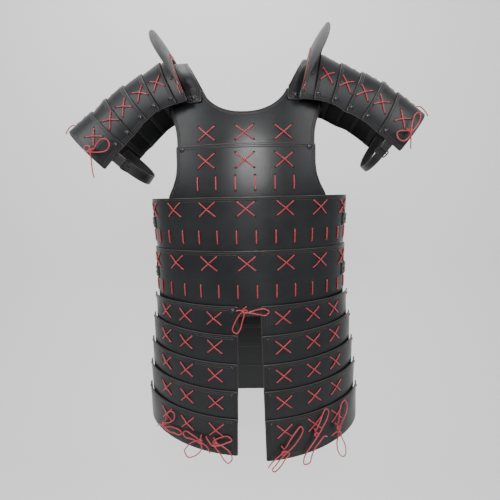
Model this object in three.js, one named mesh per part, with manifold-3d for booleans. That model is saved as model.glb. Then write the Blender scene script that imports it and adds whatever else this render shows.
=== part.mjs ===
// Samurai armour of stiff leather plates, laced with cord, in the hollow form that it has when worn.
// Millimetres, +Z up, the front faces -Y. The origin lies under the ridge of the shoulder straps.

import * as THREE from 'three';
import { mergeVertices } from 'three/addons/utils/BufferGeometryUtils.js';
import Module from 'manifold-3d';

const wasm = await Module();
wasm.setup();

const { lerp, degToRad, radToDeg, clamp } = THREE.MathUtils;

// Leather, seams, lacing cord and rivets
const wall = 3;
const seamGap = 0.7;
const overlap = 12;
const strapWall = 2.5;
const strapGap = 0.4;
const cordRadius = 1.25;
const lacingWidth = 3.4;
const lacingRise = 2.1;
const lacingSink = 0.6;
const rivetRise = 3;
const rivetSink = 1;
const rivetSides = 6;

// Torso: the inner face of the plates, as ellipses around the Z axis
const torsoSections = [
  { z: 0, half: 188, front: 60, back: 56 },
  { z: -66, half: 190, front: 98, back: 92 },
  { z: -116, half: 196, front: 116, back: 104 },
  { z: -178, half: 199, front: 130, back: 118 },
  { z: -279, half: 203, front: 142, back: 130 },
  { z: -382, half: 200.5, front: 143, back: 133 },
  { z: -490, half: 200, front: 144, back: 137 },
  { z: -546, half: 208, front: 150, back: 143 },
  { z: -602, half: 214, front: 155, back: 149 },
  { z: -655, half: 219, front: 160, back: 155 },
  { z: -710, half: 223, front: 165, back: 161 },
  { z: -795, half: 231, front: 173, back: 169 },
];

// Waist bands: the row of their top edges, bottom edges and levels between
const bandAngles = { frontEnd: 95, backStart: 105 };
const bands = [
  { name: 'upper', levels: [-279, -330, -382, -394], gap: 1.7, crossZ: -302, stitchZ: -356 },
  { name: 'lower', levels: [-382, -436, -490, -510], gap: seamGap, crossZ: -407, stitchZ: -462 },
];
const bandReach = { front: 3, back: 2 };
const bandCross = { pitch: 75, halfWidth: 17.5, halfHeight: 14.5 };
const stitchArc = 18.75;
const stitchHalfLength = 14;

// Skirt: top edges of the five lames and the hem, on each front tasset and on the back
const lameOuterAngle = 86;
const backLameStart = 98;
const lameEarFlare = 3.5;
const tassets = [
  { side: 'right', sign: -1, tops: [-490, -546, -602, -655, -709], hem: -783, innerX: [18, 25] },
  { side: 'left', sign: 1, tops: [-490, -548, -604, -656, -712], hem: -794, innerX: [23, 30] },
];
const backLineAngles = [112, 126, 140, 154, 167, 180, 193, 206, 220, 234, 248];
const skirtLines = { tops: [-490, -547, -603, -656, -710], hem: -786 };
const bandLameOverlap = 20;
const lameGaps = {
  front: [1.5, 1.1, seamGap, seamGap, seamGap],
  back: [2.6, 1.5, seamGap, seamGap, seamGap],
};
const lameRises = [7, 17, 18, 19, 20, 27];
const lameColumn = 17.5;
const lameSideArc = 245;
const lameCross = { halfWidth: 16, halfHeight: 13.5, drop: 25, arcs: [67, 131, 187] };
const lameRivet = { inset: 3.2, innerDrop: 8, outerDrop: 9, radius: 3.5, firstRadius: 5.5 };

// Breast and back plates: half width at each height, and the neckline
const upperSides = [
  { z: -62, x: 138 },
  { z: -84, x: 150 },
  { z: -103, x: 153 },
  { z: -120, x: 145 },
  { z: -142, x: 138 },
  { z: -160, x: 135 },
  { z: -190, x: 134 },
];
const lowerSides = [
  { z: -178, x: 134 },
  { z: -209, x: 134 },
  { z: -231, x: 136 },
  { z: -253, x: 143 },
  { z: -276, x: 155 },
  { z: -291, x: 160 },
];
const neckShare = 4 / 7;
const shoulderTop = { inner: -70, outer: -66 };
const neckPower = 2.5;
const breastNeck = -116;
const backNeck = -84;
const breastLevels = { bottom: -190, lowerTop: -178, lowerBottom: -291 };
const chestColumns = [-7, -6, -5, -4, -3, -2, -1, 0, 1, 2, 3, 4, 5, 6, 7].map((i) => i / 7);
const breastCross = { pitch: 75, halfWidth: 17.5, halfHeight: 14.5, upperZ: -157, lowerZ: -210 };
const breastStitchZ = -253;
const breastRivet = { arc: 127, drop: 7.5, radius: 6 };
const chestRows = {
  breastUpper: [0, 0.33, 0.67, 1],
  breastLower: [0, 0.11, 0.55, 0.89, 1],
  backUpper: [0, 0.5, 1],
  backLower: [0, 0.11, 0.89, 1],
};

// Shoulder guards: arches from front corner over the ridge to back corner, from neck to hem
const guards = [
  {
    side: 'right',
    sign: -1,
    stations: [
      { ridgeX: 151, ridgeZ: 8, cornerX: 108, cornerZ: -92, depth: 105 },
      { ridgeX: 177, ridgeZ: 0, cornerX: 130, cornerZ: -96, depth: 100 },
      { ridgeX: 217.5, ridgeZ: -21, cornerX: 166, cornerZ: -104, depth: 89 },
      { ridgeX: 258, ridgeZ: -42.5, cornerX: 194, cornerZ: -122, depth: 85 },
      { ridgeX: 297, ridgeZ: -67.5, cornerX: 224, cornerZ: -152, depth: 81 },
      { ridgeX: 330, ridgeZ: -94.5, cornerX: 245, cornerZ: -171, depth: 78 },
      { ridgeX: 385, ridgeZ: -131, cornerX: 290, cornerZ: -218, depth: 76 },
    ],
  },
  {
    side: 'left',
    sign: 1,
    stations: [
      { ridgeX: 131, ridgeZ: 10, cornerX: 103, cornerZ: -95, depth: 105 },
      { ridgeX: 154, ridgeZ: 6, cornerX: 132, cornerZ: -96, depth: 98 },
      { ridgeX: 196, ridgeZ: -12, cornerX: 167, cornerZ: -102, depth: 89 },
      { ridgeX: 239, ridgeZ: -31, cornerX: 196, cornerZ: -118, depth: 85 },
      { ridgeX: 281.5, ridgeZ: -51, cornerX: 227, cornerZ: -133, depth: 81 },
      { ridgeX: 313, ridgeZ: -73.5, cornerX: 262, cornerZ: -160, depth: 78 },
      { ridgeX: 373, ridgeZ: -117, cornerX: 306, cornerZ: -197, depth: 76 },
    ],
  },
];
const guardGap = 1;
const guardAngles = [-90, -73, -47, -36, -24, -12, 12, 24, 36, 47, 73, 90];
const guardLames = 5;
const guardCross = { halfWidth: 15, halfHeight: 14, angles: [0, 60], along: 0.48 };
const guardLap = 0.25;
const guardRivet = { angle: 83, along: 0.2, radius: 5 };
const shoulderRivet = { angle: 62, along: 0.55, radius: 4 };

// Collar wing that stands on the inner end of each shoulder guard
const wing = {
  start: 0.14,
  lift: 9,
  up: 49,
  upAtEnds: 8,
  out: 35,
  bulge: 12,
  spread: 9,
  reach: 84,
  power: 1.3,
};
const wingColumns = 14;

// Shoulder straps over the shoulders, and the straps that close sides and arms
const yoke = {
  endX: 97,
  edgeX: 101,
  ridgeX: 138,
  endZ: -96,
  edgeZ: -66,
  width: 32,
  edgePlace: 0.86,
  gap: 0.9,
};
const yokePlaces = [-1, -0.94, -0.86, -0.7, -0.5, -0.3, -0.12, 0, 0.12, 0.3, 0.5, 0.7, 0.86, 0.94, 1];
const yokeStud = { radius: 3.5, along: 0.06, sink: 1, sides: 8 };
const sideStrap = { from: 71, to: 126, width: 22, zs: [-329.5, -435] };
const buckle = { angle: 113, width: 36, length: 24, bar: 4, thick: 3 };
const armStrap = { along: 5.5, width: 0.32, drop: 0.55 };
const armStrapAngles = [73, 90, 108, 126, 144, 162, 180, 198, 216, 234, 252, 270, 287];

// Free ends of the lacing, tied in bows. On the torso a row is [arc to the wearer's left, height,
// distance out from the torso] from the knot; on a shoulder guard [towards the front corner,
// towards the hem, out] from the knot. Each route runs from its lacing hole to its free end.
const torsoBows = [
  {
    name: 'bow_waist_centre',
    on: 'band',
    arc: -5,
    z: -497,
    route: [
      [3, 6, 6], [1, 4, 10], [-4, 1, 13], [-1, -3, 16], [8, -2, 14], [20, 2, 14], [34, 3, 15], [42, -3, 15],
      [36, -9, 15.5], [22, -6, 17], [8, -3, 18.5], [-3, -2, 19.5],
      [-11, -10, 18], [-19, -24, 16], [-23, -37, 15],
      [-16, -43, 15], [-9, -34, 15.5], [-5, -20, 17], [-1, -8, 20], [-2, 0, 23], [-9, 3, 22], [-16, 1, 19],
    ],
  },
  {
    name: 'bow_tasset_right_outer',
    on: 'right',
    arc: -188,
    z: -741,
    route: [
      [4, 7, 7.7], [1, 4, 10], [3, 10, 11], [8, 20, 11.5],
      [18, 29, 12], [28, 27, 12], [29, 16, 11.5], [17, 6, 11],
      [4, 0, 12.5], [-4, -5, 13], [2, -9, 11.5], [16, -5, 9.5], [30, -4, 8.5], [40, -5, 8.5], [47, -10, 8.5],
      [40, -15, 9], [30, -14, 9.5], [18, -13, 12.5], [2, -6, 16],
      [-10, -6, 15], [-20, -11, 11], [-30, -18, 9],
    ],
  },
  {
    name: 'bow_tasset_right_middle',
    on: 'right',
    arc: -98,
    z: -754,
    route: [
      [3, 7, 7.2], [1, 3, 10], [-4, -2, 11], [-16, -9, 10], [-28, -20, 8], [-38, -33, 6.5], [-30, -43, 6],
      [-16, -40, 6.5], [-4, -28, 8.5], [4, -14, 12], [3, -2, 14.5],
      [-6, 4, 13.5], [-20, 8, 10.5], [-34, 10, 9],
      [-42, 4, 9], [-34, -2, 10], [-20, 0, 14], [-4, 0, 17.5], [8, -4, 16], [18, -12, 12], [22, -24, 9],
    ],
  },
  {
    name: 'bow_tasset_right_inner',
    on: 'right',
    arc: -66,
    z: -755,
    route: [
      [-3, 7, 7.2], [-1, 3, 10], [5, -2, 11], [16, -8, 9.5], [27, -18, 8], [33, -32, 6.5], [26, -41, 6],
      [17, -34, 7], [8, -20, 9.5], [-1, -8, 13], [-5, 0, 14.5], [2, 6, 13.5], [14, 11, 10.5], [26, 13, 9],
      [31, 6, 9], [22, 0, 11], [9, -3, 15.5], [-4, -3, 18], [-12, 4, 16.5], [-19, 10, 12],
    ],
  },
  {
    name: 'bow_tasset_left_inner',
    on: 'left',
    arc: 62,
    z: -772,
    route: [
      [-2, 8, 7.2], [-1, 4, 10], [5, 8, 11], [14, 20, 11.5],
      [24, 34, 11], [34, 44, 11], [39, 36, 11], [33, 22, 11],
      [20, 9, 11], [5, -2, 14], [-8, -13, 12.5], [-17, -25, 9], [-25, -36, 7], [-18, -40, 7], [-9, -29, 9.5],
      [0, -13, 15], [8, -2, 17.5], [0, 4, 18.5], [-12, -6, 16.5], [-22, -18, 12.5], [-32, -30, 9.5],
    ],
  },
  {
    name: 'bow_tasset_left_middle',
    on: 'left',
    arc: 128,
    z: -747,
    route: [
      [-3, 7, 7.7], [-1, 3, 10], [4, 9, 11.5], [10, 21, 12],
      [18, 34, 12], [26, 43, 12], [33, 38, 12], [29, 25, 12],
      [17, 11, 12], [3, -4, 14], [-8, -18, 12], [-19, -32, 10], [-28, -46, 8], [-27, -58, 7.5], [-18, -57, 8],
      [-12, -44, 10], [-4, -26, 14], [5, -12, 18], [15, -8, 16], [25, -13, 11],
    ],
  },
  {
    name: 'bow_tasset_left_outer',
    on: 'left',
    arc: 182,
    z: -748,
    route: [
      [-3, 7, 7.2], [-1, 3, 10], [3, 10, 11.5], [5, 24, 12],
      [13, 40, 12], [26, 46, 11.5], [34, 36, 11.5], [30, 20, 11.5],
      [18, 8, 11], [3, -2, 13.5], [-2, -16, 12], [-3, -34, 9], [0, -54, 7], [9, -68, 6], [20, -70, 6],
      [23, -58, 6.5], [16, -40, 9], [7, -22, 12.5], [-2, -8, 16.5], [-11, -8, 15], [-19, -14, 11],
    ],
  },
];
const guardBows = [
  {
    name: 'bow_guard_right_front',
    side: 'right',
    angle: 70,
    along: 5.84,
    route: [
      [-2, -8, 1.5], [-1, -4, 6], [3, -8, 7], [0, -20, 7],
      [2, -34, 9], [12, -42, 10.5], [24, -38, 10.5], [27, -26, 9],
      [18, -12, 9], [4, 0, 10.5], [-8, 6, 10], [-16, 2, 7.5], [-12, -5, 7.5], [-2, -6, 13], [8, 2, 13.5],
      [16, 12, 8], [22, 22, 2], [30, 32, -3], [38, 40, -8],
    ],
  },
  {
    name: 'bow_guard_left_front',
    side: 'left',
    angle: 68,
    along: 5.84,
    route: [
      [-2, -8, 1.3], [-1, -4, 6], [4, -7, 7], [12, -16, 8],
      [23, -21, 9.5], [31, -13, 11], [28, -2, 11], [16, 3, 10.5],
      [2, 1, 10.5], [-10, 3, 8], [-24, 3, 7], [-38, 0, 7], [-44, -8, 7], [-34, -12, 7], [-18, -8, 8.5],
      [-2, -4, 14], [8, 2, 14], [17, 12, 8], [25, 22, 2],
    ],
  },
];
const ridgeEnds = [
  { name: 'cord_end_guard_right', side: 'right', angle: 4, along: 5.75, route: [
    [0, 0, 1.6], [1, 4, 5], [2, 12, 6], [3, 20, 4], [4, 28, 0]] },
  { name: 'cord_end_guard_left', side: 'left', angle: 6, along: 5.7, route: [
    [0, 0, 1.6], [1, 4, 5], [3, 12, 6], [6, 22, 4], [9, 31, 0]] },
];
const cordExit = { start: 0.5, straight: 3.2 };
const cordStep = 9;
const cordSides = 8;

// Colours and finish of leather, cord and metal
const finishes = {
  leather: { color: '#1c1c1f', roughness: 0.45, metalness: 0 },
  strap: { color: '#18181a', roughness: 0.5, metalness: 0 },
  cord: { color: '#c4243c', roughness: 0.6, metalness: 0 },
  metal: { color: '#3b3b40', roughness: 0.35, metalness: 0.9 },
};

const armour = new THREE.Group();

function addPiece(name, geometry, finish) {
  const mesh = new THREE.Mesh(geometry, new THREE.MeshStandardMaterial(finishes[finish]));
  mesh.name = name;
  armour.add(mesh);
}

// A column of a table at a value of its key column, on straight lines between the rows
function tableAt(rows, key, value, column) {
  const falling = rows[1][key] < rows[0][key];
  let i = 0;
  while (i < rows.length - 2 && (falling ? value < rows[i + 1][key] : value > rows[i + 1][key])) i += 1;
  const share = (value - rows[i][key]) / (rows[i + 1][key] - rows[i][key]);
  return lerp(rows[i][column], rows[i + 1][column], share);
}

// A closed body from a geometry, and a geometry from a closed body
function solidOf(geometry) {
  geometry.deleteAttribute('normal');
  geometry.deleteAttribute('uv');
  const merged = mergeVertices(geometry);
  const vertProperties = new Float32Array(merged.attributes.position.array);
  const triVerts = new Uint32Array(merged.index.array);
  return new wasm.Manifold(new wasm.Mesh({ numProp: 3, vertProperties, triVerts }));
}

function geometryOf(solid) {
  const mesh = solid.getMesh();
  const geometry = new THREE.BufferGeometry();
  geometry.setAttribute('position', new THREE.BufferAttribute(mesh.vertProperties, 3));
  geometry.setIndex(new THREE.BufferAttribute(mesh.triVerts, 1));
  return geometry;
}

function joined(geometry, additions) {
  return geometryOf(additions.reduce((solid, extra) => solid.add(solidOf(extra)), solidOf(geometry)));
}

// Even places from 0 to 1 for the columns or rows of a wall
function evenPlaces(count) {
  return Array.from({ length: count + 1 }, (_, i) => i / count);
}

// An indexed geometry of quads and triangles, turned so that its faces point out
function closedGeometry(points, faces) {
  const positions = points.flatMap((p) => p.toArray());
  let volume = 0;
  for (let i = 0; i < faces.length; i += 3) {
    const [a, b, c] = [points[faces[i]], points[faces[i + 1]], points[faces[i + 2]]];
    volume += a.dot(b.clone().cross(c));
  }
  const order = volume < 0 ? faces.slice().reverse() : faces;
  const geometry = new THREE.BufferGeometry();
  geometry.setAttribute('position', new THREE.Float32BufferAttribute(positions, 3));
  geometry.setIndex(order);
  return geometry;
}

// A wall between two faces of a surface: point(u, v, side) with side 0 inside and 1 outside
function wallGeometry(point, columnPlaces, rowPlaces) {
  const columns = columnPlaces.length - 1;
  const rows = rowPlaces.length - 1;
  const points = [];
  for (const side of [1, 0]) {
    for (const v of rowPlaces) {
      for (const u of columnPlaces) points.push(point(u, v, side));
    }
  }
  const layer = (columns + 1) * (rows + 1);
  const at = (side, c, r) => (1 - side) * layer + r * (columns + 1) + c;
  const faces = [];
  const quad = (a, b, c, d) => faces.push(a, b, c, a, c, d);
  for (let r = 0; r < rows; r += 1) {
    for (let c = 0; c < columns; c += 1) {
      quad(at(1, c, r), at(1, c + 1, r), at(1, c + 1, r + 1), at(1, c, r + 1));
      quad(at(0, c, r), at(0, c, r + 1), at(0, c + 1, r + 1), at(0, c + 1, r));
    }
    quad(at(1, 0, r), at(1, 0, r + 1), at(0, 0, r + 1), at(0, 0, r));
    quad(at(1, columns, r + 1), at(1, columns, r), at(0, columns, r), at(0, columns, r + 1));
  }
  for (let c = 0; c < columns; c += 1) {
    quad(at(1, c + 1, 0), at(1, c, 0), at(0, c, 0), at(0, c + 1, 0));
    quad(at(1, c, rows), at(1, c + 1, rows), at(0, c + 1, rows), at(0, c, rows));
  }
  return closedGeometry(points, faces);
}

// A point of the torso at an angle from the front centre, moved out by a distance
function torsoPoint(angle, z, out) {
  const half = tableAt(torsoSections, 'z', z, 'half');
  const depth = tableAt(torsoSections, 'z', z, Math.cos(angle) >= 0 ? 'front' : 'back');
  const x = half * Math.sin(angle);
  const y = -depth * Math.cos(angle);
  const normal = new THREE.Vector3(Math.sin(angle) / half, -Math.cos(angle) / depth, 0).normalize();
  return new THREE.Vector3(x, y, z).addScaledVector(normal, out);
}

// The angle at an arc length from the front centre, measured along the torso at one height
function angleAtArc(arc, z, centre = 0) {
  const step = degToRad(1);
  let angle = 0;
  let length = 0;
  while (length < Math.abs(arc)) {
    const here = torsoPoint(centre + angle, z, wall);
    length += here.distanceTo(torsoPoint(centre + angle + step, z, wall));
    angle += step;
  }
  return centre + Math.sign(arc) * angle;
}

// How far a plate's top edge is lifted, so that it clears the plate beneath it by the seam gap
function topLift(height, under, gap = seamGap) {
  return (wall + gap) / (1 - under / height);
}

// Frame of a face(a, b) of points: place, unit steps along a and b, and the outward normal
function faceFrame(face, a, b) {
  const step = 0.001;
  const origin = face(a, b);
  const alongA = face(a + step, b).sub(face(a - step, b)).divideScalar(2 * step);
  const alongB = face(a, b + step).sub(face(a, b - step)).divideScalar(2 * step);
  const scaleA = alongA.length();
  const scaleB = alongB.length();
  alongA.normalize();
  alongB.normalize();
  const normal = alongA.clone().cross(alongB).normalize();
  return { origin, alongA, alongB, normal, scaleA, scaleB };
}

// One run of lacing cord that lies on a face between two of its points
function lacingRun(face, from, to, outward) {
  const ends = [faceFrame(face, ...from), faceFrame(face, ...to)];
  const along = ends[1].origin.clone().sub(ends[0].origin).normalize();
  const points = [];
  for (const [i, end] of ends.entries()) {
    const normal = end.normal.clone().multiplyScalar(outward);
    const across = normal.clone().cross(along).normalize();
    const foot = end.origin.clone().addScaledVector(normal, -lacingSink);
    points.push(foot.clone().addScaledVector(across, lacingWidth / 2));
    points.push(foot.clone().addScaledVector(across, -lacingWidth / 2));
    const crest = end.origin.clone().addScaledVector(normal, lacingRise);
    points.push(crest.addScaledVector(along, i === 0 ? lacingWidth / 2 : -lacingWidth / 2));
  }
  const faces = [0, 1, 2, 3, 5, 4, 0, 3, 4, 0, 4, 1, 1, 4, 5, 1, 5, 2, 2, 5, 3, 2, 3, 0];
  return closedGeometry(points, faces);
}

function crossRuns(face, a, b, cross, outward = 1) {
  const { scaleA, scaleB } = faceFrame(face, a, b);
  const da = cross.halfWidth / scaleA;
  const db = cross.halfHeight / scaleB;
  return [
    lacingRun(face, [a - da, b - db], [a + da, b + db], outward),
    lacingRun(face, [a - da, b + db], [a + da, b - db], outward),
  ];
}

function stitchRun(face, a, b, outward = 1) {
  const { scaleB } = faceFrame(face, a, b);
  const db = stitchHalfLength / scaleB;
  return lacingRun(face, [a, b + db], [a, b - db], outward);
}

// A domed rivet head that stands on a face
function rivetHead(face, a, b, radius, outward = 1) {
  const { origin, normal } = faceFrame(face, a, b);
  normal.multiplyScalar(outward);
  const head = new THREE.ConeGeometry(radius, rivetRise + rivetSink, rivetSides);
  head.applyQuaternion(new THREE.Quaternion().setFromUnitVectors(new THREE.Vector3(0, 1, 0), normal));
  const middle = origin.clone().addScaledVector(normal, (rivetRise - rivetSink) / 2);
  return head.translate(...middle.toArray());
}

// A point of a wall's flat outer facets, at a place between its columns and rows
function facetPoint(point, columns, rows, u, v) {
  const cell = (places, place) => {
    let i = 0;
    while (i < places.length - 2 && place > places[i + 1]) i += 1;
    return { i, share: (place - places[i]) / (places[i + 1] - places[i]) };
  };
  const c = cell(columns, u);
  const r = cell(rows, v);
  const edge = (row) => point(columns[c.i], row, 1).lerp(point(columns[c.i + 1], row, 1), c.share);
  return edge(rows[r.i]).lerp(edge(rows[r.i + 1]), r.share);
}

// The place of an angle among a plate's column angles, which may rise or fall
function columnPlace(angles, angle) {
  const turn = Math.sign(angles.at(-1) - angles[0]);
  let i = 0;
  while (i < angles.length - 2 && turn * (angle - angles[i + 1]) > 0) i += 1;
  return i + (angle - angles[i]) / (angles[i + 1] - angles[i]);
}

// A torso plate with columns at given angles, whose lift falls to nothing at its bottom edge
function torsoPlate({ anglesAt, levels, under, gap, rises = [0, 0], flare = 0 }) {
  const top = levels[0];
  const bottom = levels.at(-1);
  const lift = topLift(top - bottom, under, gap);
  const heightAt = (angle, v) => lerp(top, bottom, v) + lerp(...rises, v) * Math.sin(angle) ** 2;
  const shareAt = (angle, z) => {
    const [topRise, bottomRise] = rises.map((rise) => rise * Math.sin(angle) ** 2);
    return (top + topRise - z) / (top - bottom + topRise - bottomRise);
  };
  const liftAt = (angle, v) => (lift + flare * Math.sin(angle) ** 6) * (1 - v);
  const point = (column, v, side) => {
    const angle = anglesAt(lerp(top, bottom, v))[column];
    return torsoPoint(angle, heightAt(angle, v), liftAt(angle, v) + side * wall);
  };
  const shares = levels.map((z) => (top - z) / (top - bottom));
  const columns = anglesAt(top).map((_, i) => i);
  const face = (angle, z) => {
    const v = shareAt(angle, z);
    return facetPoint(point, columns, shares, columnPlace(anglesAt(z), angle), v);
  };
  return { geometry: wallGeometry(point, columns, shares), face };
}

// Breast and back plates: half width from a table, top edge from the neckline
function chestPlate({ sides, topAt, bottom, back, lift, rowShares }) {
  const middle = back ? Math.PI : 0;
  const turn = back ? -1 : 1;
  const point = (across, v, side) => {
    const z = lerp(topAt(across), bottom, v);
    const x = across * tableAt(sides, 'z', z, 'x');
    const angle = middle + turn * Math.asin(x / tableAt(torsoSections, 'z', z, 'half'));
    return torsoPoint(angle, z, lift * (1 - v) + side * wall);
  };
  const face = (angle, z) => {
    const x = tableAt(torsoSections, 'z', z, 'half') * Math.sin(turn * (angle - middle));
    const across = x / tableAt(sides, 'z', z, 'x');
    const v = (topAt(across) - z) / (topAt(across) - bottom);
    return facetPoint(point, chestColumns, rowShares, across, v);
  };
  return { geometry: wallGeometry(point, chestColumns, rowShares), face };
}

function neckline(depthZ) {
  return (across) => {
    const share = Math.abs(across) / neckShare;
    if (share >= 1) {
      return lerp(shoulderTop.inner, shoulderTop.outer, (Math.abs(across) - neckShare) / (1 - neckShare));
    }
    return depthZ + (shoulderTop.inner - depthZ) * share ** neckPower;
  };
}

// Chest and back, upper plates and the lower plates that lap over them
for (const back of [false, true]) {
  const name = back ? 'back_plate' : 'breast_plate';
  const centre = back ? Math.PI : 0;
  const neck = back ? backNeck : breastNeck;
  const upper = chestPlate({
    sides: upperSides,
    topAt: neckline(neck),
    bottom: breastLevels.bottom,
    back,
    lift: 0,
    rowShares: back ? chestRows.backUpper : chestRows.breastUpper,
  });
  const lowerHeight = breastLevels.lowerTop - breastLevels.lowerBottom;
  const lower = chestPlate({
    sides: lowerSides,
    topAt: () => breastLevels.lowerTop,
    bottom: breastLevels.lowerBottom,
    back,
    lift: topLift(lowerHeight, overlap),
    rowShares: back ? chestRows.backLower : chestRows.breastLower,
  });
  const marks = { upper: [], lower: [] };
  for (const step of back ? [] : [-1, 0, 1]) {
    const arc = step * breastCross.pitch;
    const upperAngle = angleAtArc(arc, breastCross.upperZ, centre);
    const lowerAngle = angleAtArc(arc, breastCross.lowerZ, centre);
    marks.upper.push(...crossRuns(upper.face, upperAngle, breastCross.upperZ, breastCross));
    marks.lower.push(...crossRuns(lower.face, lowerAngle, breastCross.lowerZ, breastCross));
    for (const foot of [-stitchArc, stitchArc]) {
      marks.lower.push(stitchRun(lower.face, angleAtArc(arc + foot, breastStitchZ, centre), breastStitchZ));
    }
  }
  for (const sign of [-1, 1]) {
    const angle = angleAtArc(sign * breastRivet.arc, breastLevels.lowerTop, centre);
    const rivetZ = breastLevels.lowerTop - breastRivet.drop;
    marks.lower.push(rivetHead(lower.face, angle, rivetZ, breastRivet.radius));
  }
  addPiece(`${name}_upper`, joined(upper.geometry, marks.upper), 'leather');
  addPiece(`${name}_lower`, joined(lower.geometry, marks.lower), 'leather');
}

// Waist bands, front halves and back halves
const bandPlates = {};
for (const band of bands) {
  bandPlates[band.name] = {};
  const halves = [
    { part: 'front', from: -bandAngles.frontEnd, to: bandAngles.frontEnd },
    { part: 'back', from: bandAngles.backStart, to: 360 - bandAngles.backStart },
  ];
  for (const { part, from, to } of halves) {
    const reach = bandReach[part];
    const ends = [degToRad(from), degToRad(to)];
    const centre = (ends[0] + ends[1]) / 2;
    const lineCount = reach * 4 + 2;
    const halfPitch = bandCross.pitch / 2;
    const lineArcs = Array.from({ length: lineCount }, (_, i) => (i - (lineCount - 1) / 2) * halfPitch);
    const lines = lineArcs.map((arc) => angleAtArc(arc, band.crossZ, centre));
    const angles = [ends[0], ...lines, ends[1]];
    const plate = torsoPlate({ anglesAt: () => angles, levels: band.levels, under: overlap, gap: band.gap });
    const marks = [];
    for (let step = -reach; part === 'front' && step <= reach; step += 1) {
      const arc = step * bandCross.pitch;
      marks.push(...crossRuns(plate.face, angleAtArc(arc, band.crossZ, centre), band.crossZ, bandCross));
      for (const foot of [-stitchArc, stitchArc]) {
        marks.push(stitchRun(plate.face, angleAtArc(arc + foot, band.stitchZ, centre), band.stitchZ));
      }
    }
    addPiece(`waist_band_${part}_${band.name}`, joined(plate.geometry, marks), 'leather');
    bandPlates[band.name][part] = { face: plate.face, angles };
  }
}

// One row of the skirt, lapping over the row above it
function skirtLame({ name, anglesAt, tops, hem, row, gaps, crossAngles, rivetAngles, flare }) {
  const top = tops[row];
  const last = row === tops.length - 1;
  const bottom = last ? hem : tops[row + 1] - overlap;
  const plate = torsoPlate({
    anglesAt,
    levels: last ? [top, (top + bottom) / 2, bottom] : [top, tops[row + 1], bottom],
    under: row === 0 ? bandLameOverlap : overlap,
    gap: gaps[row],
    rises: [lameRises[row], lameRises[row + 1]],
    flare,
  });
  const marks = [];
  const edgeZ = (angle) => top + lameRises[row] * Math.sin(angle) ** 2;
  for (const angle of crossAngles(top - lameCross.drop)) {
    marks.push(...crossRuns(plate.face, angle, edgeZ(angle) - lameCross.drop, lameCross));
  }
  for (const { angle, drop, radius } of rivetAngles) {
    marks.push(rivetHead(plate.face, angle, edgeZ(angle) - drop, radius));
  }
  addPiece(name, joined(plate.geometry, marks), 'leather');
  return plate.face;
}

const tassetFaces = {};
for (const tasset of tassets) {
  const { side, sign, tops, hem, innerX } = tasset;
  const innerAngle = (z) => {
    const x = lerp(innerX[0], innerX[1], (tops[0] - z) / (tops[0] - hem));
    return sign * Math.asin(x / tableAt(torsoSections, 'z', z, 'half'));
  };
  for (let row = 0; row < tops.length; row += 1) {
    const crossZ = tops[row] - lameCross.drop;
    const lines = lameCross.arcs.flatMap((arc) => [arc - lameColumn, arc + lameColumn]).concat(lameSideArc)
      .map((arc) => angleAtArc(sign * arc, crossZ));
    const rivetInset = degToRad(lameRivet.inset);
    const innerRadius = row === 0 ? lameRivet.firstRadius : lameRivet.radius;
    const outerAngle = sign * (degToRad(lameOuterAngle) - rivetInset);
    tassetFaces[side] = skirtLame({
      name: `tasset_${side}_lame_${row + 1}`,
      anglesAt: (z) => [innerAngle(z), ...lines, sign * degToRad(lameOuterAngle)],
      tops,
      hem,
      row,
      gaps: lameGaps.front,
      flare: lameEarFlare,
      crossAngles: (z) => lameCross.arcs.map((arc) => angleAtArc(sign * arc, z)),
      rivetAngles: [
        { angle: innerAngle(tops[row]) + sign * rivetInset, drop: lameRivet.innerDrop, radius: innerRadius },
        { angle: outerAngle, drop: lameRivet.outerDrop, radius: lameRivet.radius },
      ],
    });
  }
}

for (let row = 0; row < skirtLines.tops.length; row += 1) {
  const ends = [degToRad(backLameStart), degToRad(360 - backLameStart)];
  const lines = backLineAngles.map(degToRad);
  skirtLame({
    name: `skirt_back_lame_${row + 1}`,
    anglesAt: () => [ends[0], ...lines, ends[1]],
    tops: skirtLines.tops,
    hem: skirtLines.hem,
    row,
    gaps: lameGaps.back,
    flare: 0,
    crossAngles: () => [],
    rivetAngles: [],
  });
}

// Shoulder guards: a surface along smooth lines through the stations of ridge and corner
function guardSurface({ sign, stations }) {
  const last = stations.length - 1;
  const line = (x, z) => new THREE.CatmullRomCurve3(
    stations.map((s) => new THREE.Vector3(sign * s[x], s.depth, s[z])), false, 'catmullrom', 0.5);
  const ridgeLine = line('ridgeX', 'ridgeZ');
  const cornerLine = line('cornerX', 'cornerZ');
  const base = (t, angle) => {
    const ridge = ridgeLine.getPoint(clamp(t / last, 0, 1));
    const corner = cornerLine.getPoint(clamp(t / last, 0, 1));
    const rise = Math.cos(angle);
    return new THREE.Vector3(
      lerp(corner.x, ridge.x, rise), -corner.y * Math.sin(angle), lerp(corner.z, ridge.z, rise));
  };
  return (t, angle, out) => {
    const inner = Math.min(t, last - 0.002);
    const { normal } = faceFrame(base, Math.max(inner, 0.002), angle);
    return base(t, angle).addScaledVector(normal, sign * -out);
  };
}

function guardLame(surface, { from, to, under }) {
  const lift = topLift(1, under, guardGap);
  const innerLift = (t) => (lift * (to - t)) / (to - from);
  const point = (angle, v, side) => surface(lerp(from, to, v), degToRad(angle), lift * (1 - v) + side * wall);
  const rows = [0, (Math.ceil(to) - 1 - from) / (to - from) || 0.5, 1];
  const face = (angle, t) => facetPoint(point, guardAngles, rows, radToDeg(angle), (t - from) / (to - from));
  return { geometry: wallGeometry(point, guardAngles, rows), face, innerLift };
}

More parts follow.
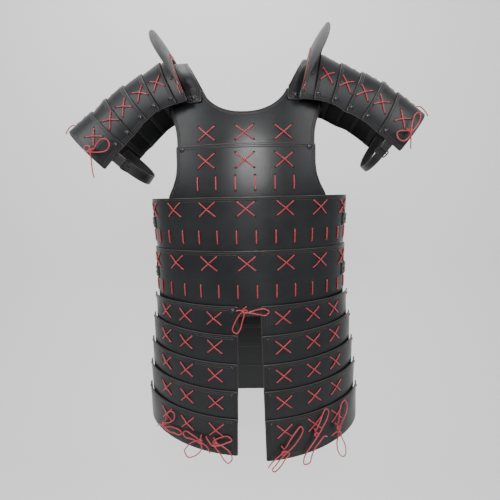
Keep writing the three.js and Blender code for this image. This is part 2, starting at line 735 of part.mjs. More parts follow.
const guardFaces = {};
const shoulderSeats = {};
for (const guard of guards) {
  const { side, sign } = guard;
  const surface = guardSurface(guard);
  const strapLift = [];
  const plate = guardLame(surface, { from: 0, to: 1 + guardLap, under: guardLap / (1 + guardLap) });
  const rivetAt = (end) => end * degToRad(shoulderRivet.angle);
  const rivets = [-1, 1].map((end) => (
    rivetHead(plate.face, rivetAt(end), shoulderRivet.along, shoulderRivet.radius, sign)));
  const ridgeFacet = degToRad(guardAngles.find((angle) => angle > 0));
  shoulderSeats[side] = surface(yokeStud.along, ridgeFacet, plate.innerLift(yokeStud.along));
  addPiece(`shoulder_plate_${side}`, joined(plate.geometry, rivets), 'leather');
  for (let lame = 1; lame <= guardLames; lame += 1) {
    const to = lame === guardLames ? lame + 1 : lame + 1 + guardLap;
    const under = guardLap / (to - lame);
    const { geometry, face, innerLift } = guardLame(surface, { from: lame, to, under });
    const marks = [];
    for (const angle of guardCross.angles) {
      marks.push(...crossRuns(face, degToRad(angle), lame + guardCross.along, guardCross, sign));
    }
    for (const end of [-1, 1]) {
      const angle = end * degToRad(guardRivet.angle);
      marks.push(rivetHead(face, angle, lame + guardRivet.along, guardRivet.radius, sign));
    }
    addPiece(`shoulder_guard_${side}_lame_${lame}`, joined(geometry, marks), 'leather');
    guardFaces[side] = face;
    if (lame === Math.floor(armStrap.along)) strapLift.push(innerLift);
  }

  // The wing rises and flares from the inner arch; its wall lies on both sides of its middle face
  const wingMiddle = (angle, v) => {
    const rise = wing.upAtEnds + wing.up * Math.cos(angle);
    const out = wing.out * Math.cos(angle) + wing.bulge * Math.sin(2 * angle) ** 2;
    const flare = v ** wing.power;
    const spread = -wing.spread * Math.sin(2 * Math.abs(angle)) * Math.sign(angle);
    const raised = new THREE.Vector3(sign * out * flare, spread * v, rise * v);
    return surface(wing.start, angle, wing.lift).add(raised);
  };
  const wingPoint = (u, v, face) => {
    const angle = degToRad(lerp(-wing.reach, wing.reach, u));
    const { normal } = faceFrame(wingMiddle, angle, clamp(v, 0.01, 0.99));
    return wingMiddle(angle, v).addScaledVector(normal, sign * (face - 0.5) * wall);
  };
  addPiece(`collar_wing_${side}`, wallGeometry(wingPoint, evenPlaces(wingColumns), [0, 0.5, 1]), 'leather');

  // The strap that holds the guard to the arm hangs from its front and back corners, inside the lame
  const strapPoint = (u, column, face) => {
    const angle = degToRad(armStrapAngles[column]);
    const t = armStrap.along + (u - 0.5) * armStrap.width;
    const out = strapLift[0](t) - strapGap - strapWall * (1 - face);
    if (angle <= Math.PI / 2) return surface(t, angle, out);
    if (angle >= Math.PI * 1.5) return surface(t, angle - 2 * Math.PI, out);
    const inner = surface(t, Math.PI / 2, out - strapWall * face);
    const ridge = surface(t, 0, 0);
    const corner = inner.clone().setY(0);
    const down = corner.clone().sub(ridge.setY(0)).multiplyScalar(-armStrap.drop * Math.cos(angle));
    const sag = 1 + (strapWall * face) / down.length();
    const radius = Math.abs(inner.y) + strapWall * face;
    return corner.add(down.multiplyScalar(sag)).setY(-radius * Math.sin(angle));
  };
  const strapColumns = armStrapAngles.map((_, i) => i);
  addPiece(`arm_strap_${side}`, wallGeometry(strapPoint, [0, 1], strapColumns), 'strap');
}

// Shoulder straps: over the shoulders and down on the breast and back plates, with the stud of the guard
for (const { side, sign } of guards) {
  const base = (v, s) => {
    const over = Math.min(Math.abs(v) / yoke.edgePlace, 1) * (Math.PI / 2);
    const below = Math.max(Math.abs(v) - yoke.edgePlace, 0) / (1 - yoke.edgePlace);
    const z = lerp(yoke.edgeZ, 0, Math.cos(over)) + (yoke.endZ - yoke.edgeZ) * below;
    const middle = lerp(yoke.edgeX, yoke.ridgeX, Math.cos(over)) + (yoke.endX - yoke.edgeX) * below;
    const x = middle + s * yoke.width;
    const half = tableAt(torsoSections, 'z', Math.min(z, yoke.edgeZ), 'half');
    const reach = tableAt(torsoSections, 'z', Math.min(z, yoke.edgeZ), v < 0 ? 'front' : 'back');
    const y = Math.sign(v) * reach * Math.sin(over) * Math.sqrt(1 - (x / half) ** 2);
    return new THREE.Vector3(sign * x, y, z);
  };
  const point = (u, v, face) => {
    const { normal } = faceFrame(base, v, u - 0.5);
    const over = Math.min(Math.abs(v) / yoke.edgePlace, 1) * (Math.PI / 2);
    const rest = (wall + yoke.gap) * Math.sin(over);
    return base(v, u - 0.5).addScaledVector(normal, -sign * (rest + face * wall));
  };
  const seat = shoulderSeats[side];
  const studHeight = seat.z - strapGap - (wall - yokeStud.sink);
  const stud = new THREE.CylinderGeometry(yokeStud.radius, yokeStud.radius, studHeight, yokeStud.sides)
    .rotateX(Math.PI / 2)
    .translate(seat.x - sign * yokeStud.radius, 0, wall - yokeStud.sink + studHeight / 2);
  const strap = wallGeometry(point, evenPlaces(2), yokePlaces);
  addPiece(`shoulder_strap_${side}`, joined(strap, [stud]), 'leather');
}

// Side straps and buckles that join front and back bands. A strap follows the lines of the bands,
// so that it lies flat on them.
for (const [row, z] of sideStrap.zs.entries()) {
  const { name } = bands[row];
  const { front, back } = bandPlates[name];
  const from = degToRad(sideStrap.from);
  const to = degToRad(sideStrap.to);
  for (const { side, sign } of guards) {
    const around = (angle) => (sign > 0 ? angle : 2 * Math.PI - angle);
    const frontAngles = [from, ...front.angles.filter((angle) => angle > from)];
    const backAngles = [...back.angles.filter((angle) => angle < to), to];
    const spots = frontAngles.map((angle) => ({ plate: front, angle: sign * angle }))
      .concat(backAngles.map((angle) => ({ plate: back, angle: around(angle) })));
    const point = (u, column, face) => {
      const { plate, angle } = spots[column];
      const level = z + (0.5 - u) * sideStrap.width;
      const out = torsoPoint(angle, level, 1).sub(torsoPoint(angle, level, 0));
      return plate.face(angle, level).addScaledVector(out, strapGap + face * strapWall);
    };
    const columns = spots.map((_, i) => i);
    addPiece(`side_strap_${name}_${side}`, wallGeometry(point, [0, 1], columns), 'strap');

    const frame = new THREE.Shape();
    const [w, h] = [buckle.length / 2, buckle.width / 2];
    frame.moveTo(-w, -h).lineTo(w, -h).lineTo(w, h).lineTo(-w, h).closePath();
    const hole = new THREE.Path();
    const [iw, ih] = [w - buckle.bar, h - buckle.bar];
    hole.moveTo(-iw, -ih).lineTo(-iw, ih).lineTo(iw, ih).lineTo(iw, -ih).closePath();
    frame.holes.push(hole);
    const ring = new THREE.ExtrudeGeometry(frame, { depth: buckle.thick, bevelEnabled: false });
    const place = faceFrame(back.face, around(degToRad(buckle.angle)), z);
    const basis = new THREE.Matrix4().makeBasis(place.alongA, place.alongB, place.normal);
    const rest = strapGap + strapWall + strapGap;
    basis.setPosition(place.origin.addScaledVector(place.normal, rest));
    addPiece(`side_buckle_${name}_${side}`, geometryOf(solidOf(ring.applyMatrix4(basis))), 'metal');
  }
}

// Free cords: plain tubes along their routes
function addCord(name, points) {
  const line = new THREE.CatmullRomCurve3(points, false, 'centripetal');
  const section = new THREE.Shape();
  for (let i = 0; i < cordSides; i += 1) {
    const turn = (i / cordSides) * 2 * Math.PI;
    const spot = [cordRadius * Math.cos(turn), cordRadius * Math.sin(turn)];
    if (i === 0) section.moveTo(...spot);
    else section.lineTo(...spot);
  }
  section.closePath();
  const steps = Math.round(line.getLength() / cordStep);
  const tube = new THREE.ExtrudeGeometry(section, { steps, bevelEnabled: false, extrudePath: line });
  addPiece(name, geometryOf(solidOf(tube)), 'cord');
}

const bowFaces = { band: bandPlates.lower.front.face, ...tassetFaces };
for (const { name, on, arc, z, route } of torsoBows) {
  const angles = route.map((row) => angleAtArc(arc + row[0], z));
  const hole = faceFrame(bowFaces[on], angles[0], z + route[0][1]);
  const points = [cordExit.start, cordExit.straight]
    .map((out) => hole.origin.clone().addScaledVector(hole.normal, out));
  for (const [i, [, height, out]] of route.entries()) {
    if (i > 0) points.push(torsoPoint(angles[i], z + height, out));
  }
  addCord(name, points);
}
for (const bow of [...guardBows, ...ridgeEnds]) {
  const { sign } = guards.find((guard) => guard.side === bow.side);
  const knot = faceFrame(guardFaces[bow.side], degToRad(bow.angle), bow.along);
  addCord(bow.name, bow.route.map(([towardsFront, towardsHem, out]) => (
    knot.origin.clone().addScaledVector(knot.alongA, towardsFront)
      .addScaledVector(knot.alongB, towardsHem).addScaledVector(knot.normal, sign * out))));
}

export default armour;
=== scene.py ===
# %% [markdown]
# Laced leather armour
#
# Armour of this kind is stiff leather cut in plates. Every plate is pierced, laced to its neighbour
# with round cord, and riveted at the corners. A breast plate and a back plate hang from two shoulder
# straps, two waist bands close the middle, a skirt of overlapping strips hangs from them, and each
# shoulder carries a guard of five strips with a standing collar wing.
#
# The plates could be modelled by hand, but each one is a strip of a smooth surface. So here a plate
# is a function of two places across it, worked out for a whole grid at once, and the plates that
# overlap share one function: they then keep their distance everywhere.

# %% Load the solid model
import math

import bmesh
import bpy
import numpy as np
from mathutils import Matrix, Vector


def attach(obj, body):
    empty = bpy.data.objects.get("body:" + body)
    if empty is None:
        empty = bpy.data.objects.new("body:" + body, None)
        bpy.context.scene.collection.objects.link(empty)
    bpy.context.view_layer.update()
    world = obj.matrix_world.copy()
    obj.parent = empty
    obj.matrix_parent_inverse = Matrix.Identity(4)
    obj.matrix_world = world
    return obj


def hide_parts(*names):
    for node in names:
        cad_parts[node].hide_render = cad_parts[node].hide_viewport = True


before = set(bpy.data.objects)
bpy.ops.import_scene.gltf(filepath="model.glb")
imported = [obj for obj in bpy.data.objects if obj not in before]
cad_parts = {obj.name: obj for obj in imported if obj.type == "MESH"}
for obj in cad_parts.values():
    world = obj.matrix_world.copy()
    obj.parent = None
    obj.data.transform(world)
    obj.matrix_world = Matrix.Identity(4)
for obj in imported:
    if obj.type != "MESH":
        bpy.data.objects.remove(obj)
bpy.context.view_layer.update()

MM = 0.001

# %% [markdown]
# The camera stands where the photograph was taken: a metre in front, a little to the wearer's left,
# looking slightly down and tilted by about one degree. A camera can be aimed with a constraint, but
# a matrix built from its three directions keeps the tilt exact.

# %% Camera
SIDE_TURN = math.radians(2.4)
DOWN_TILT = math.radians(6.3)
ROLL = math.radians(1.3)
CAMERA_PLACE = Vector((0.0444, -1.059, -0.280))

ahead = Vector((
    -math.sin(SIDE_TURN) * math.cos(DOWN_TILT),
    math.cos(SIDE_TURN) * math.cos(DOWN_TILT),
    -math.sin(DOWN_TILT),
))
level_right = ahead.cross(Vector((0, 0, 1))).normalized()
level_up = level_right.cross(ahead)
right = level_right * math.cos(ROLL) - level_up * math.sin(ROLL)
up = level_right * math.sin(ROLL) + level_up * math.cos(ROLL)

camera_data = bpy.data.cameras.new("camera")
camera_data.sensor_width = 36
camera_data.lens = 34.56
camera = bpy.data.objects.new("camera", camera_data)
bpy.context.scene.collection.objects.link(camera)
turn = Matrix((right, up, -ahead)).transposed().to_4x4()
camera.matrix_world = Matrix.Translation(CAMERA_PLACE) @ turn
bpy.context.scene.camera = camera
print("camera looks along", tuple(round(v, 3) for v in ahead))

# %% [markdown]
# Numbers first. The torso is a stack of ellipses, each with its own half width and its own depth in
# front and behind. All sizes in these tables are millimetres, as a leather worker would note them.

# %% Sizes of the armour
WALL = 3.0
SEAM_GAP = 0.7
OVERLAP = 12.0
STRAP_WALL = 2.5
STRAP_GAP = 0.4
CORD_RADIUS = 1.25
CROSS_PITCH = 75.0

torso = np.array([  # height, half width, depth in front, depth behind
    [0, 188, 60, 56],
    [-66, 190, 98, 92],
    [-116, 196, 116, 104],
    [-178, 199, 130, 118],
    [-279, 203, 142, 130],
    [-382, 200.5, 143, 133],
    [-490, 200, 144, 137],
    [-546, 208, 150, 143],
    [-602, 214, 155, 149],
    [-655, 219, 160, 155],
    [-710, 223, 165, 161],
    [-795, 231, 173, 169],
    [-850, 236.2, 178.2, 174.2],
])
bands = {
    "upper": {"top": -279, "bottom": -394, "gap": 1.7, "cross": -302, "stitch": -356},
    "lower": {"top": -382, "bottom": -510, "gap": 0.7, "cross": -407, "stitch": -462},
}
tassets = {
    "right": {"sign": -1, "tops": [-490, -546, -602, -655, -709], "hem": -783, "inner": (18, 25)},
    "left": {"sign": 1, "tops": [-490, -548, -604, -656, -712], "hem": -794, "inner": (23, 30)},
}
skirt_back = {"tops": [-490, -547, -603, -656, -710], "hem": -786}
LAME_RISES = [7.0, 17.0, 18.0, 19.0, 20.0, 27.0]  # how far each edge of the skirt rises at the sides
LAME_GAPS = {"front": [1.5, 1.1, 0.7, 0.7, 0.7], "back": [2.6, 1.5, 0.7, 0.7, 0.7]}
guard_stations = {  # ridge x, ridge z, corner x, corner z, depth
    "right": np.array([
        [151, 8, 108, -92, 105],
        [177, 0, 130, -96, 100],
        [217.5, -21, 166, -104, 89],
        [258, -42.5, 194, -122, 85],
        [297, -67.5, 224, -152, 81],
        [330, -94.5, 245, -171, 78],
        [385, -131, 290, -218, 76],
    ], float),
    "left": np.array([
        [131, 10, 103, -95, 105],
        [154, 6, 132, -96, 98],
        [196, -12, 167, -102, 89],
        [239, -31, 196, -118, 85],
        [281.5, -51, 227, -133, 81],
        [313, -73.5, 262, -160, 78],
        [373, -117, 306, -197, 76],
    ], float),
}
SIGNS = {"right": -1, "left": 1}
print(len(torso), "torso sections,", sum(len(t["tops"]) for t in tassets.values()), "tasset strips")

# %% [markdown]
# Straight lines between the sections would leave a faint crease in glossy leather. A cubic curve
# with harmonic mean slopes passes through every row and never swings past it.

# %% Smooth curves through a table
def through(places, values, x):
    """Cubic pieces through the values: each slope is the harmonic mean of the steps beside it."""
    gaps = np.diff(places)
    steps = np.diff(values) / gaps
    slopes = np.zeros_like(values, dtype=float)
    same = steps[:-1] * steps[1:] > 0
    total = np.where(same, steps[:-1] + steps[1:], 1)
    slopes[1:-1] = np.where(same, 2 * steps[:-1] * steps[1:] / total, 0)
    slopes[0], slopes[-1] = steps[0], steps[-1]
    i = np.clip(np.searchsorted(places, x) - 1, 0, len(gaps) - 1)
    t = np.clip((x - places[i]) / gaps[i], 0, 1)
    start, end = values[i], values[i + 1]
    return (
        start * (1 + 2 * t) * (1 - t) ** 2
        + slopes[i] * gaps[i] * t * (1 - t) ** 2
        + end * t * t * (3 - 2 * t)
        + slopes[i + 1] * gaps[i] * t * t * (t - 1)
    )


HALF_WIDTH, IN_FRONT, BEHIND = 1, 2, 3


def torso_size(column, z):
    """One column of the torso table at any height."""
    return through(-torso[:, 0], torso[:, column], -z)


def torso_point(angle, z, out):
    """Half width times the sine and depth times the cosine of the angle, moved along the normal."""
    angle, z, out = np.broadcast_arrays(np.asarray(angle, float), z, out)
    half = torso_size(HALF_WIDTH, z)
    depth = np.where(np.cos(angle) >= 0, torso_size(IN_FRONT, z), torso_size(BEHIND, z))
    normal = np.stack([np.sin(angle) / half, -np.cos(angle) / depth, np.zeros_like(half)], -1)
    normal /= np.linalg.norm(normal, axis=-1, keepdims=True)
    point = np.stack([half * np.sin(angle), -depth * np.cos(angle), z], -1)
    return point + normal * out[..., None]


def angle_at_arc(arc, z, centre=0.0, whole_degrees=False):
    """The angle whose arc length from the centre, summed over one degree steps, reaches the arc."""
    turns = np.radians(np.arange(0, 181))
    line = torso_point(centre + turns, z, WALL)
    lengths = np.concatenate([[0], np.cumsum(np.linalg.norm(np.diff(line, axis=0), axis=1))])
    arc = np.asarray(arc, float)
    if whole_degrees:
        turn_back = turns[np.searchsorted(lengths, np.abs(arc))]
    else:
        turn_back = np.interp(np.abs(arc), lengths, turns)
    return centre + np.sign(arc) * turn_back


def raised(edge, rise, angle):
    """The height of an edge that rises towards the sides."""
    return edge + rise * np.sin(angle) ** 2


def top_lift(height, under, gap=SEAM_GAP):
    """How far the top edge stands out, so that at the depth 'under' the plate clears one wall."""
    return (WALL + gap) / (1 - under / height)


print("waist is", round(float(2 * torso_point(math.pi / 2, -436, WALL)[0])), "mm wide")

# %% [markdown]
# Every piece goes into the scene the same way: one array of points, one or more arrays of faces,
# a material, and the name of the piece. Normals are recalculated once, so that each closed piece
# faces outwards whichever way its grid ran.

# %% A mesh from whole arrays
def new_piece(name, points, faces, material, uv=None, values=None):
    """Puts the points (millimetres) and the face arrays into a mesh that rides on the armour."""
    mesh = bpy.data.meshes.new(name)
    corners = np.concatenate([f.ravel() for f in faces]).astype(np.int32)
    sizes = np.concatenate([np.full(len(f), f.shape[1]) for f in faces])
    mesh.vertices.add(len(points))
    mesh.vertices.foreach_set("co", (points * MM).astype(np.float32).ravel())
    mesh.loops.add(len(corners))
    mesh.loops.foreach_set("vertex_index", corners)
    mesh.polygons.add(len(sizes))
    starts = np.cumsum(sizes) - sizes
    mesh.polygons.foreach_set("loop_start", starts.astype(np.int32))
    mesh.polygons.foreach_set("use_smooth", np.ones(len(sizes), bool))
    mesh.update(calc_edges=True)
    if uv is not None:
        layer = mesh.uv_layers.new(name="flat")
        layer.data.foreach_set("uv", uv[corners].astype(np.float32).ravel())
    for key, numbers in (values or {}).items():
        spot = mesh.attributes.new(key, "FLOAT", "POINT")
        spot.data.foreach_set("value", numbers.astype(np.float32).ravel())
    work = bmesh.new()
    work.from_mesh(mesh)
    bmesh.ops.recalc_face_normals(work, faces=work.faces)
    work.to_mesh(mesh)
    work.free()
    mesh.materials.append(material)
    piece = bpy.data.objects.new(name, mesh)
    bpy.context.scene.collection.objects.link(piece)
    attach(piece, "root")
    return piece


def grid_faces(index):
    """The quads of a grid of point numbers."""
    return np.stack([index[:-1, :-1], index[:-1, 1:], index[1:, 1:], index[1:, :-1]], -1).reshape(-1, 4)


def ring_faces(index):
    """Quads between the neighbouring rings of each run, and a face on its first and last ring."""
    nxt = np.roll(index, -1, axis=2)
    quads = np.stack([index[:, :-1], nxt[:, :-1], nxt[:, 1:], index[:, 1:]], -1).reshape(-1, 4)
    return [quads, np.concatenate([index[:, 0], index[:, -1]])]


# %% [markdown]
# Round cord and thread are tubes. Many short runs are made together: their centre lines are one
# array of runs, points and coordinates. The frame round a centre line starts from whichever axis
# crosses it best, and the twist that this leaves between neighbours is summed and turned back.

# %% Tubes along many lines at once
def unit(v):
    """Each vector divided by its own length."""
    return v / np.maximum(np.linalg.norm(v, axis=-1, keepdims=True), 1e-12)


def frames_along(lines):
    """Two directions square to each line, with the twist between neighbours taken out."""
    tangent = unit(np.gradient(lines, axis=1))
    axis = np.eye(3)[np.argmin(np.abs(tangent), axis=-1)]
    side = unit(np.cross(tangent, axis))
    other = np.cross(tangent, side)
    carried = side[:, :-1] - tangent[:, 1:] * np.sum(side[:, :-1] * tangent[:, 1:], -1, keepdims=True)
    twist = np.arctan2(np.sum(carried * other[:, 1:], -1), np.sum(carried * side[:, 1:], -1))
    twist = np.concatenate([np.zeros((len(lines), 1)), np.cumsum(twist, axis=1)], axis=1)[..., None]
    return side * np.cos(twist) + other * np.sin(twist), other * np.cos(twist) - side * np.sin(twist)


def tubes(lines, radius, sides):
    """Rings of the radius round every point of every line, joined by quads and closed by end faces."""
    runs, steps = lines.shape[:2]
    side, other = frames_along(lines)
    around = np.arange(sides) * 2 * np.pi / sides
    radius = np.broadcast_to(radius, (runs, steps))[..., None, None]
    ring = side[:, :, None] * np.cos(around)[:, None] + other[:, :, None] * np.sin(around)[:, None]
    points = lines[:, :, None] + ring * radius
    index = np.arange(runs * steps * sides).reshape(runs, steps, sides)
    length = np.linalg.norm(np.diff(lines, axis=1), axis=-1)
    along = np.concatenate([np.zeros((runs, 1)), np.cumsum(length, axis=1)], axis=1)
    uv = np.stack(np.broadcast_arrays(around / (2 * np.pi), along[..., None] * MM), -1)
    return points.reshape(-1, 3), ring_faces(index), uv.reshape(-1, 2)


def tube_piece(name, lines, radius, sides, material):
    """The tubes along all the lines as one piece."""
    points, faces, uv = tubes(lines, radius, sides)
    return new_piece(name, points, faces, material, uv)


# %% [markdown]
# Now the finishes. The cord is a tight round braid: two sets of strands wind round it in opposite
# directions. The product of two waves along its own map gives the small lozenges of such a braid.

# %% Helpers for node materials
def start_material(name, colour, roughness, metallic=0.0):
    """A material with its shader's plain values set, and a short way to add and link nodes."""
    material = bpy.data.materials.new(name)
    material.use_nodes = True
    nodes = material.node_tree.nodes
    links = material.node_tree.links
    shader = nodes["Principled BSDF"]
    shader.inputs["Base Color"].default_value = (*colour, 1)
    shader.inputs["Roughness"].default_value = roughness
    shader.inputs["Metallic"].default_value = metallic

    def node(kind, settings=None, **sockets):
        made = nodes.new(kind)
        for key, value in (settings or {}).items():
            setattr(made, key, value)
        for key, value in sockets.items():
            numbered = key[0] == "i" and key[1:].isdigit()
            socket = made.inputs[int(key[1:]) if numbered else key]
            if isinstance(value, bpy.types.NodeSocket):
                links.new(value, socket)
            else:
                socket.default_value = value
        return made

    return material, shader, node, links


def maths(node, operation, *values):
    """One Math node with its inputs in order."""
    sockets = {f"i{i}": value for i, value in enumerate(values)}
    return node("ShaderNodeMath", {"operation": operation}, **sockets).outputs[0]


def colour_mix(node, share, first, second):
    """A blend of two colours by a share; each is a plain colour or another node's output."""
    colours = [(*c, 1) if isinstance(c, tuple) else c for c in (first, second)]
    return node("ShaderNodeMix", {"data_type": "RGBA"}, i0=share,
                A=colours[0], B=colours[1]).outputs["Result"]


def noise(node, scale, detail, **sockets):
    """A noise texture in the coordinates of the object."""
    place = node("ShaderNodeTexCoord").outputs["Object"]
    return node("ShaderNodeTexNoise", Scale=scale, Detail=detail, Vector=place, **sockets).outputs[0]


# %% Red braided cord
STRANDS = 8
BRAID_PITCH = 0.0052


def braided_cord(name, colour, light, roughness):
    """Two opposite spiral waves multiplied: high where strands cross, low between them; the colour is lighter
    there as a painted highlight and darker between as painted shade.
    """
    material, shader, node, links = start_material(name, colour, roughness)
    shader.inputs["Specular IOR Level"].default_value = 0.6
    shader.inputs["Sheen Weight"].default_value = 0.12
    split = node("ShaderNodeSeparateXYZ", i0=node("ShaderNodeUVMap", {"uv_map": "flat"}).outputs[0])
    around = maths(node, "MULTIPLY", split.outputs[0], STRANDS * math.pi)
    along = maths(node, "MULTIPLY", split.outputs[1], 2 * math.pi / BRAID_PITCH)
    left = maths(node, "SINE", maths(node, "ADD", around, along))
    right_wave = maths(node, "SINE", maths(node, "SUBTRACT", around, along))
    braid = maths(node, "MULTIPLY", left, right_wave)
    strand_highlight = node("ShaderNodeMapRange", i0=braid, i1=-1.0, i2=1.0, i3=0.0, i4=1.0)
    share = maths(node, "MULTIPLY", strand_highlight.outputs[0], noise(node, 60.0, 3.0))
    # The colour goes from dark red to pink on each crossing: a painted highlight on the strands, painted
    # shade between them.
    links.new(colour_mix(node, share, colour, light), shader.inputs["Base Color"])
    bump = node("ShaderNodeBump", Strength=0.5, Distance=0.0003, Height=braid)
    links.new(bump.outputs[0], shader.inputs["Normal"])
    return material


# Dark red for the cord itself, pink for the painted highlight on its strands.
red_cord = braided_cord("red_braided_cord", (0.24, 0.004, 0.012), (0.62, 0.035, 0.065), 0.32)
print("cord finish:", red_cord.name)

# %% [markdown]
# Free cords come before everything else. Each end of the lacing is tied in a bow and hangs free, so
# its route is a list of points from the hole to the bare end. A centripetal curve through the
# points keeps its loops round and never cuts a corner.

# %% Routes of the free cords
torso_bows = {
    "bow_waist_centre": ("band", -5, -497, [
        [3, 6, 6], [1, 4, 10], [-4, 1, 13], [-1, -3, 16], [8, -2, 14], [20, 2, 14], [34, 3, 15], [42, -3, 15],
        [36, -9, 15.5], [22, -6, 17], [8, -3, 18.5], [-3, -2, 19.5], [-11, -10, 18], [-19, -24, 16],
        [-23, -37, 15], [-16, -43, 15], [-9, -34, 15.5], [-5, -20, 17], [-1, -8, 20], [-2, 0, 23],
        [-9, 3, 22], [-16, 1, 19]]),
    "bow_tasset_right_outer": ("right", -188, -741, [
        [4, 7, 7.7], [1, 4, 10], [3, 10, 11], [8, 20, 11.5], [18, 29, 12], [28, 27, 12], [29, 16, 11.5],
        [17, 6, 11], [4, 0, 12.5], [-4, -5, 13], [2, -9, 11.5], [16, -5, 9.5], [30, -4, 8.5], [40, -5, 8.5],
        [47, -10, 8.5], [40, -15, 9], [30, -14, 9.5], [18, -13, 12.5], [2, -6, 16], [-10, -6, 15],
        [-20, -11, 11], [-30, -18, 9]]),
    "bow_tasset_right_middle": ("right", -98, -754, [
        [3, 7, 7.2], [1, 3, 10], [-4, -2, 11], [-16, -9, 10], [-28, -20, 8], [-38, -33, 6.5], [-30, -43, 6],
        [-16, -40, 6.5], [-4, -28, 8.5], [4, -14, 12], [3, -2, 14.5], [-6, 4, 13.5], [-20, 8, 10.5],
        [-34, 10, 9], [-42, 4, 9], [-34, -2, 10], [-20, 0, 14], [-4, 0, 17.5], [8, -4, 16], [18, -12, 12],
        [22, -24, 9]]),
    "bow_tasset_right_inner": ("right", -66, -755, [
        [-3, 7, 7.2], [-1, 3, 10], [5, -2, 11], [16, -8, 9.5], [27, -18, 8], [33, -32, 6.5], [26, -41, 6],
        [17, -34, 7], [8, -20, 9.5], [-1, -8, 13], [-5, 0, 14.5], [2, 6, 13.5], [14, 11, 10.5], [26, 13, 9],
        [31, 6, 9], [22, 0, 11], [9, -3, 15.5], [-4, -3, 18], [-12, 4, 16.5], [-19, 10, 12]]),
    "bow_tasset_left_inner": ("left", 62, -772, [
        [-2, 8, 7.2], [-1, 4, 10], [5, 8, 11], [14, 20, 11.5], [24, 34, 11], [34, 44, 11], [39, 36, 11],
        [33, 22, 11], [20, 9, 11], [5, -2, 14], [-8, -13, 12.5], [-17, -25, 9], [-25, -36, 7], [-18, -40, 7],
        [-9, -29, 9.5], [0, -13, 15], [8, -2, 17.5], [0, 4, 18.5], [-12, -6, 16.5], [-22, -18, 12.5],
        [-32, -30, 9.5]]),
    "bow_tasset_left_middle": ("left", 128, -747, [
        [-3, 7, 7.7], [-1, 3, 10], [4, 9, 11.5], [10, 21, 12], [18, 34, 12], [26, 43, 12], [33, 38, 12],
        [29, 25, 12], [17, 11, 12], [3, -4, 14], [-8, -18, 12], [-19, -32, 10], [-28, -46, 8],
        [-27, -58, 7.5], [-18, -57, 8], [-12, -44, 10], [-4, -26, 14], [5, -12, 18], [15, -8, 16],
        [25, -13, 11]]),
    "bow_tasset_left_outer": ("left", 182, -748, [
        [-3, 7, 7.2], [-1, 3, 10], [3, 10, 11.5], [5, 24, 12], [13, 40, 12], [26, 46, 11.5], [34, 36, 11.5],
        [30, 20, 11.5], [18, 8, 11], [3, -2, 13.5], [-2, -16, 12], [-3, -34, 9], [0, -54, 7], [9, -68, 6],
        [20, -70, 6], [23, -58, 6.5], [16, -40, 9], [7, -22, 12.5], [-2, -8, 16.5], [-11, -8, 15],
        [-19, -14, 11]]),
}
guard_bows = {
    "bow_guard_right_front": ("right", 70, 5.84, [
        [-2, -8, 1.5], [-1, -4, 6], [3, -8, 7], [0, -20, 7], [2, -34, 9], [12, -42, 10.5], [24, -38, 10.5],
        [27, -26, 9], [18, -12, 9], [4, 0, 10.5], [-8, 6, 10], [-16, 2, 7.5], [-12, -5, 7.5], [-2, -6, 13],
        [8, 2, 13.5], [16, 12, 8], [22, 22, 2], [30, 32, -3], [38, 40, -8]]),
    "bow_guard_left_front": ("left", 68, 5.84, [
        [-2, -8, 1.3], [-1, -4, 6], [4, -7, 7], [12, -16, 8], [23, -21, 9.5], [31, -13, 11], [28, -2, 11],
        [16, 3, 10.5], [2, 1, 10.5], [-10, 3, 8], [-24, 3, 7], [-38, 0, 7], [-44, -8, 7], [-34, -12, 7],
        [-18, -8, 8.5], [-2, -4, 14], [8, 2, 14], [17, 12, 8], [25, 22, 2]]),
    "cord_end_guard_right": ("right", 4, 5.75, [
        [0, 0, 1.6], [1, 4, 5], [2, 12, 6], [3, 20, 4], [4, 28, 0]]),
    "cord_end_guard_left": ("left", 6, 5.7, [
        [0, 0, 1.6], [1, 4, 5], [3, 12, 6], [6, 22, 4], [9, 31, 0]]),
}
print(len(torso_bows) + len(guard_bows), "free cords")

# %% [markdown]
# A shoulder guard is an arch that slides outwards and down: a smooth line along its ridge, a second
# one along its corners, and between them a cosine. Cords that hang on it need the surface first.

# %% Surface of the shoulder guards
def guard_base(side, t, angle):
    """Smooth lines through the stations; from corner to ridge by the cosine, out in y by the sine."""
    table = guard_stations[side]
    padded = np.vstack([2 * table[0] - table[1], table, 2 * table[-1] - table[-2]])
    t = np.clip(t, 0, len(table) - 1)
    i = np.minimum(np.floor(t).astype(int), len(table) - 2)
    w = (t - i)[..., None]
    before, start, end, after = padded[i], padded[i + 1], padded[i + 2], padded[i + 3]
    leave, arrive = (end - before) / 2, (after - start) / 2
    row = (
        start * (1 + 2 * w) * (1 - w) ** 2
        + leave * w * (1 - w) ** 2
        + end * w * w * (3 - 2 * w)
        + arrive * w * w * (w - 1)
    )
    ridge_x, ridge_z, corner_x, corner_z, depth = np.moveaxis(row, -1, 0)
    rise = np.cos(angle)
    x = corner_x + (ridge_x - corner_x) * rise
    return np.stack([SIGNS[side] * x, -depth * np.sin(angle), corner_z + (ridge_z - corner_z) * rise], -1)


def guard_point(side, t, angle, out):
    """The base moved along the cross product of its two slopes."""
    t, angle, out = np.broadcast_arrays(np.asarray(t, float), angle, out)
    step = 0.001
    inner = np.clip(t, 0.002, 5.998)
    slope_t = guard_base(side, inner + step, angle) - guard_base(side, inner - step, angle)
    slope_a = guard_base(side, inner, angle + step) - guard_base(side, inner, angle - step)
    normal = unit(np.cross(slope_t, slope_a)) * -SIGNS[side]
    return guard_base(side, t, angle) + normal * out[..., None]


GUARD_GAP = 1.0
GUARD_LAP = 0.25


def guard_lift(first, last, t):
    """The lift falls evenly from the neck edge of a strip to nothing at its arm edge."""
    under = GUARD_LAP / (last - first)
    return top_lift(1, under, GUARD_GAP) * (last - t) / (last - first)


print("guard ridge ends at", np.round(guard_point("left", np.array(6.0), 0.0, 0.0)), "mm")

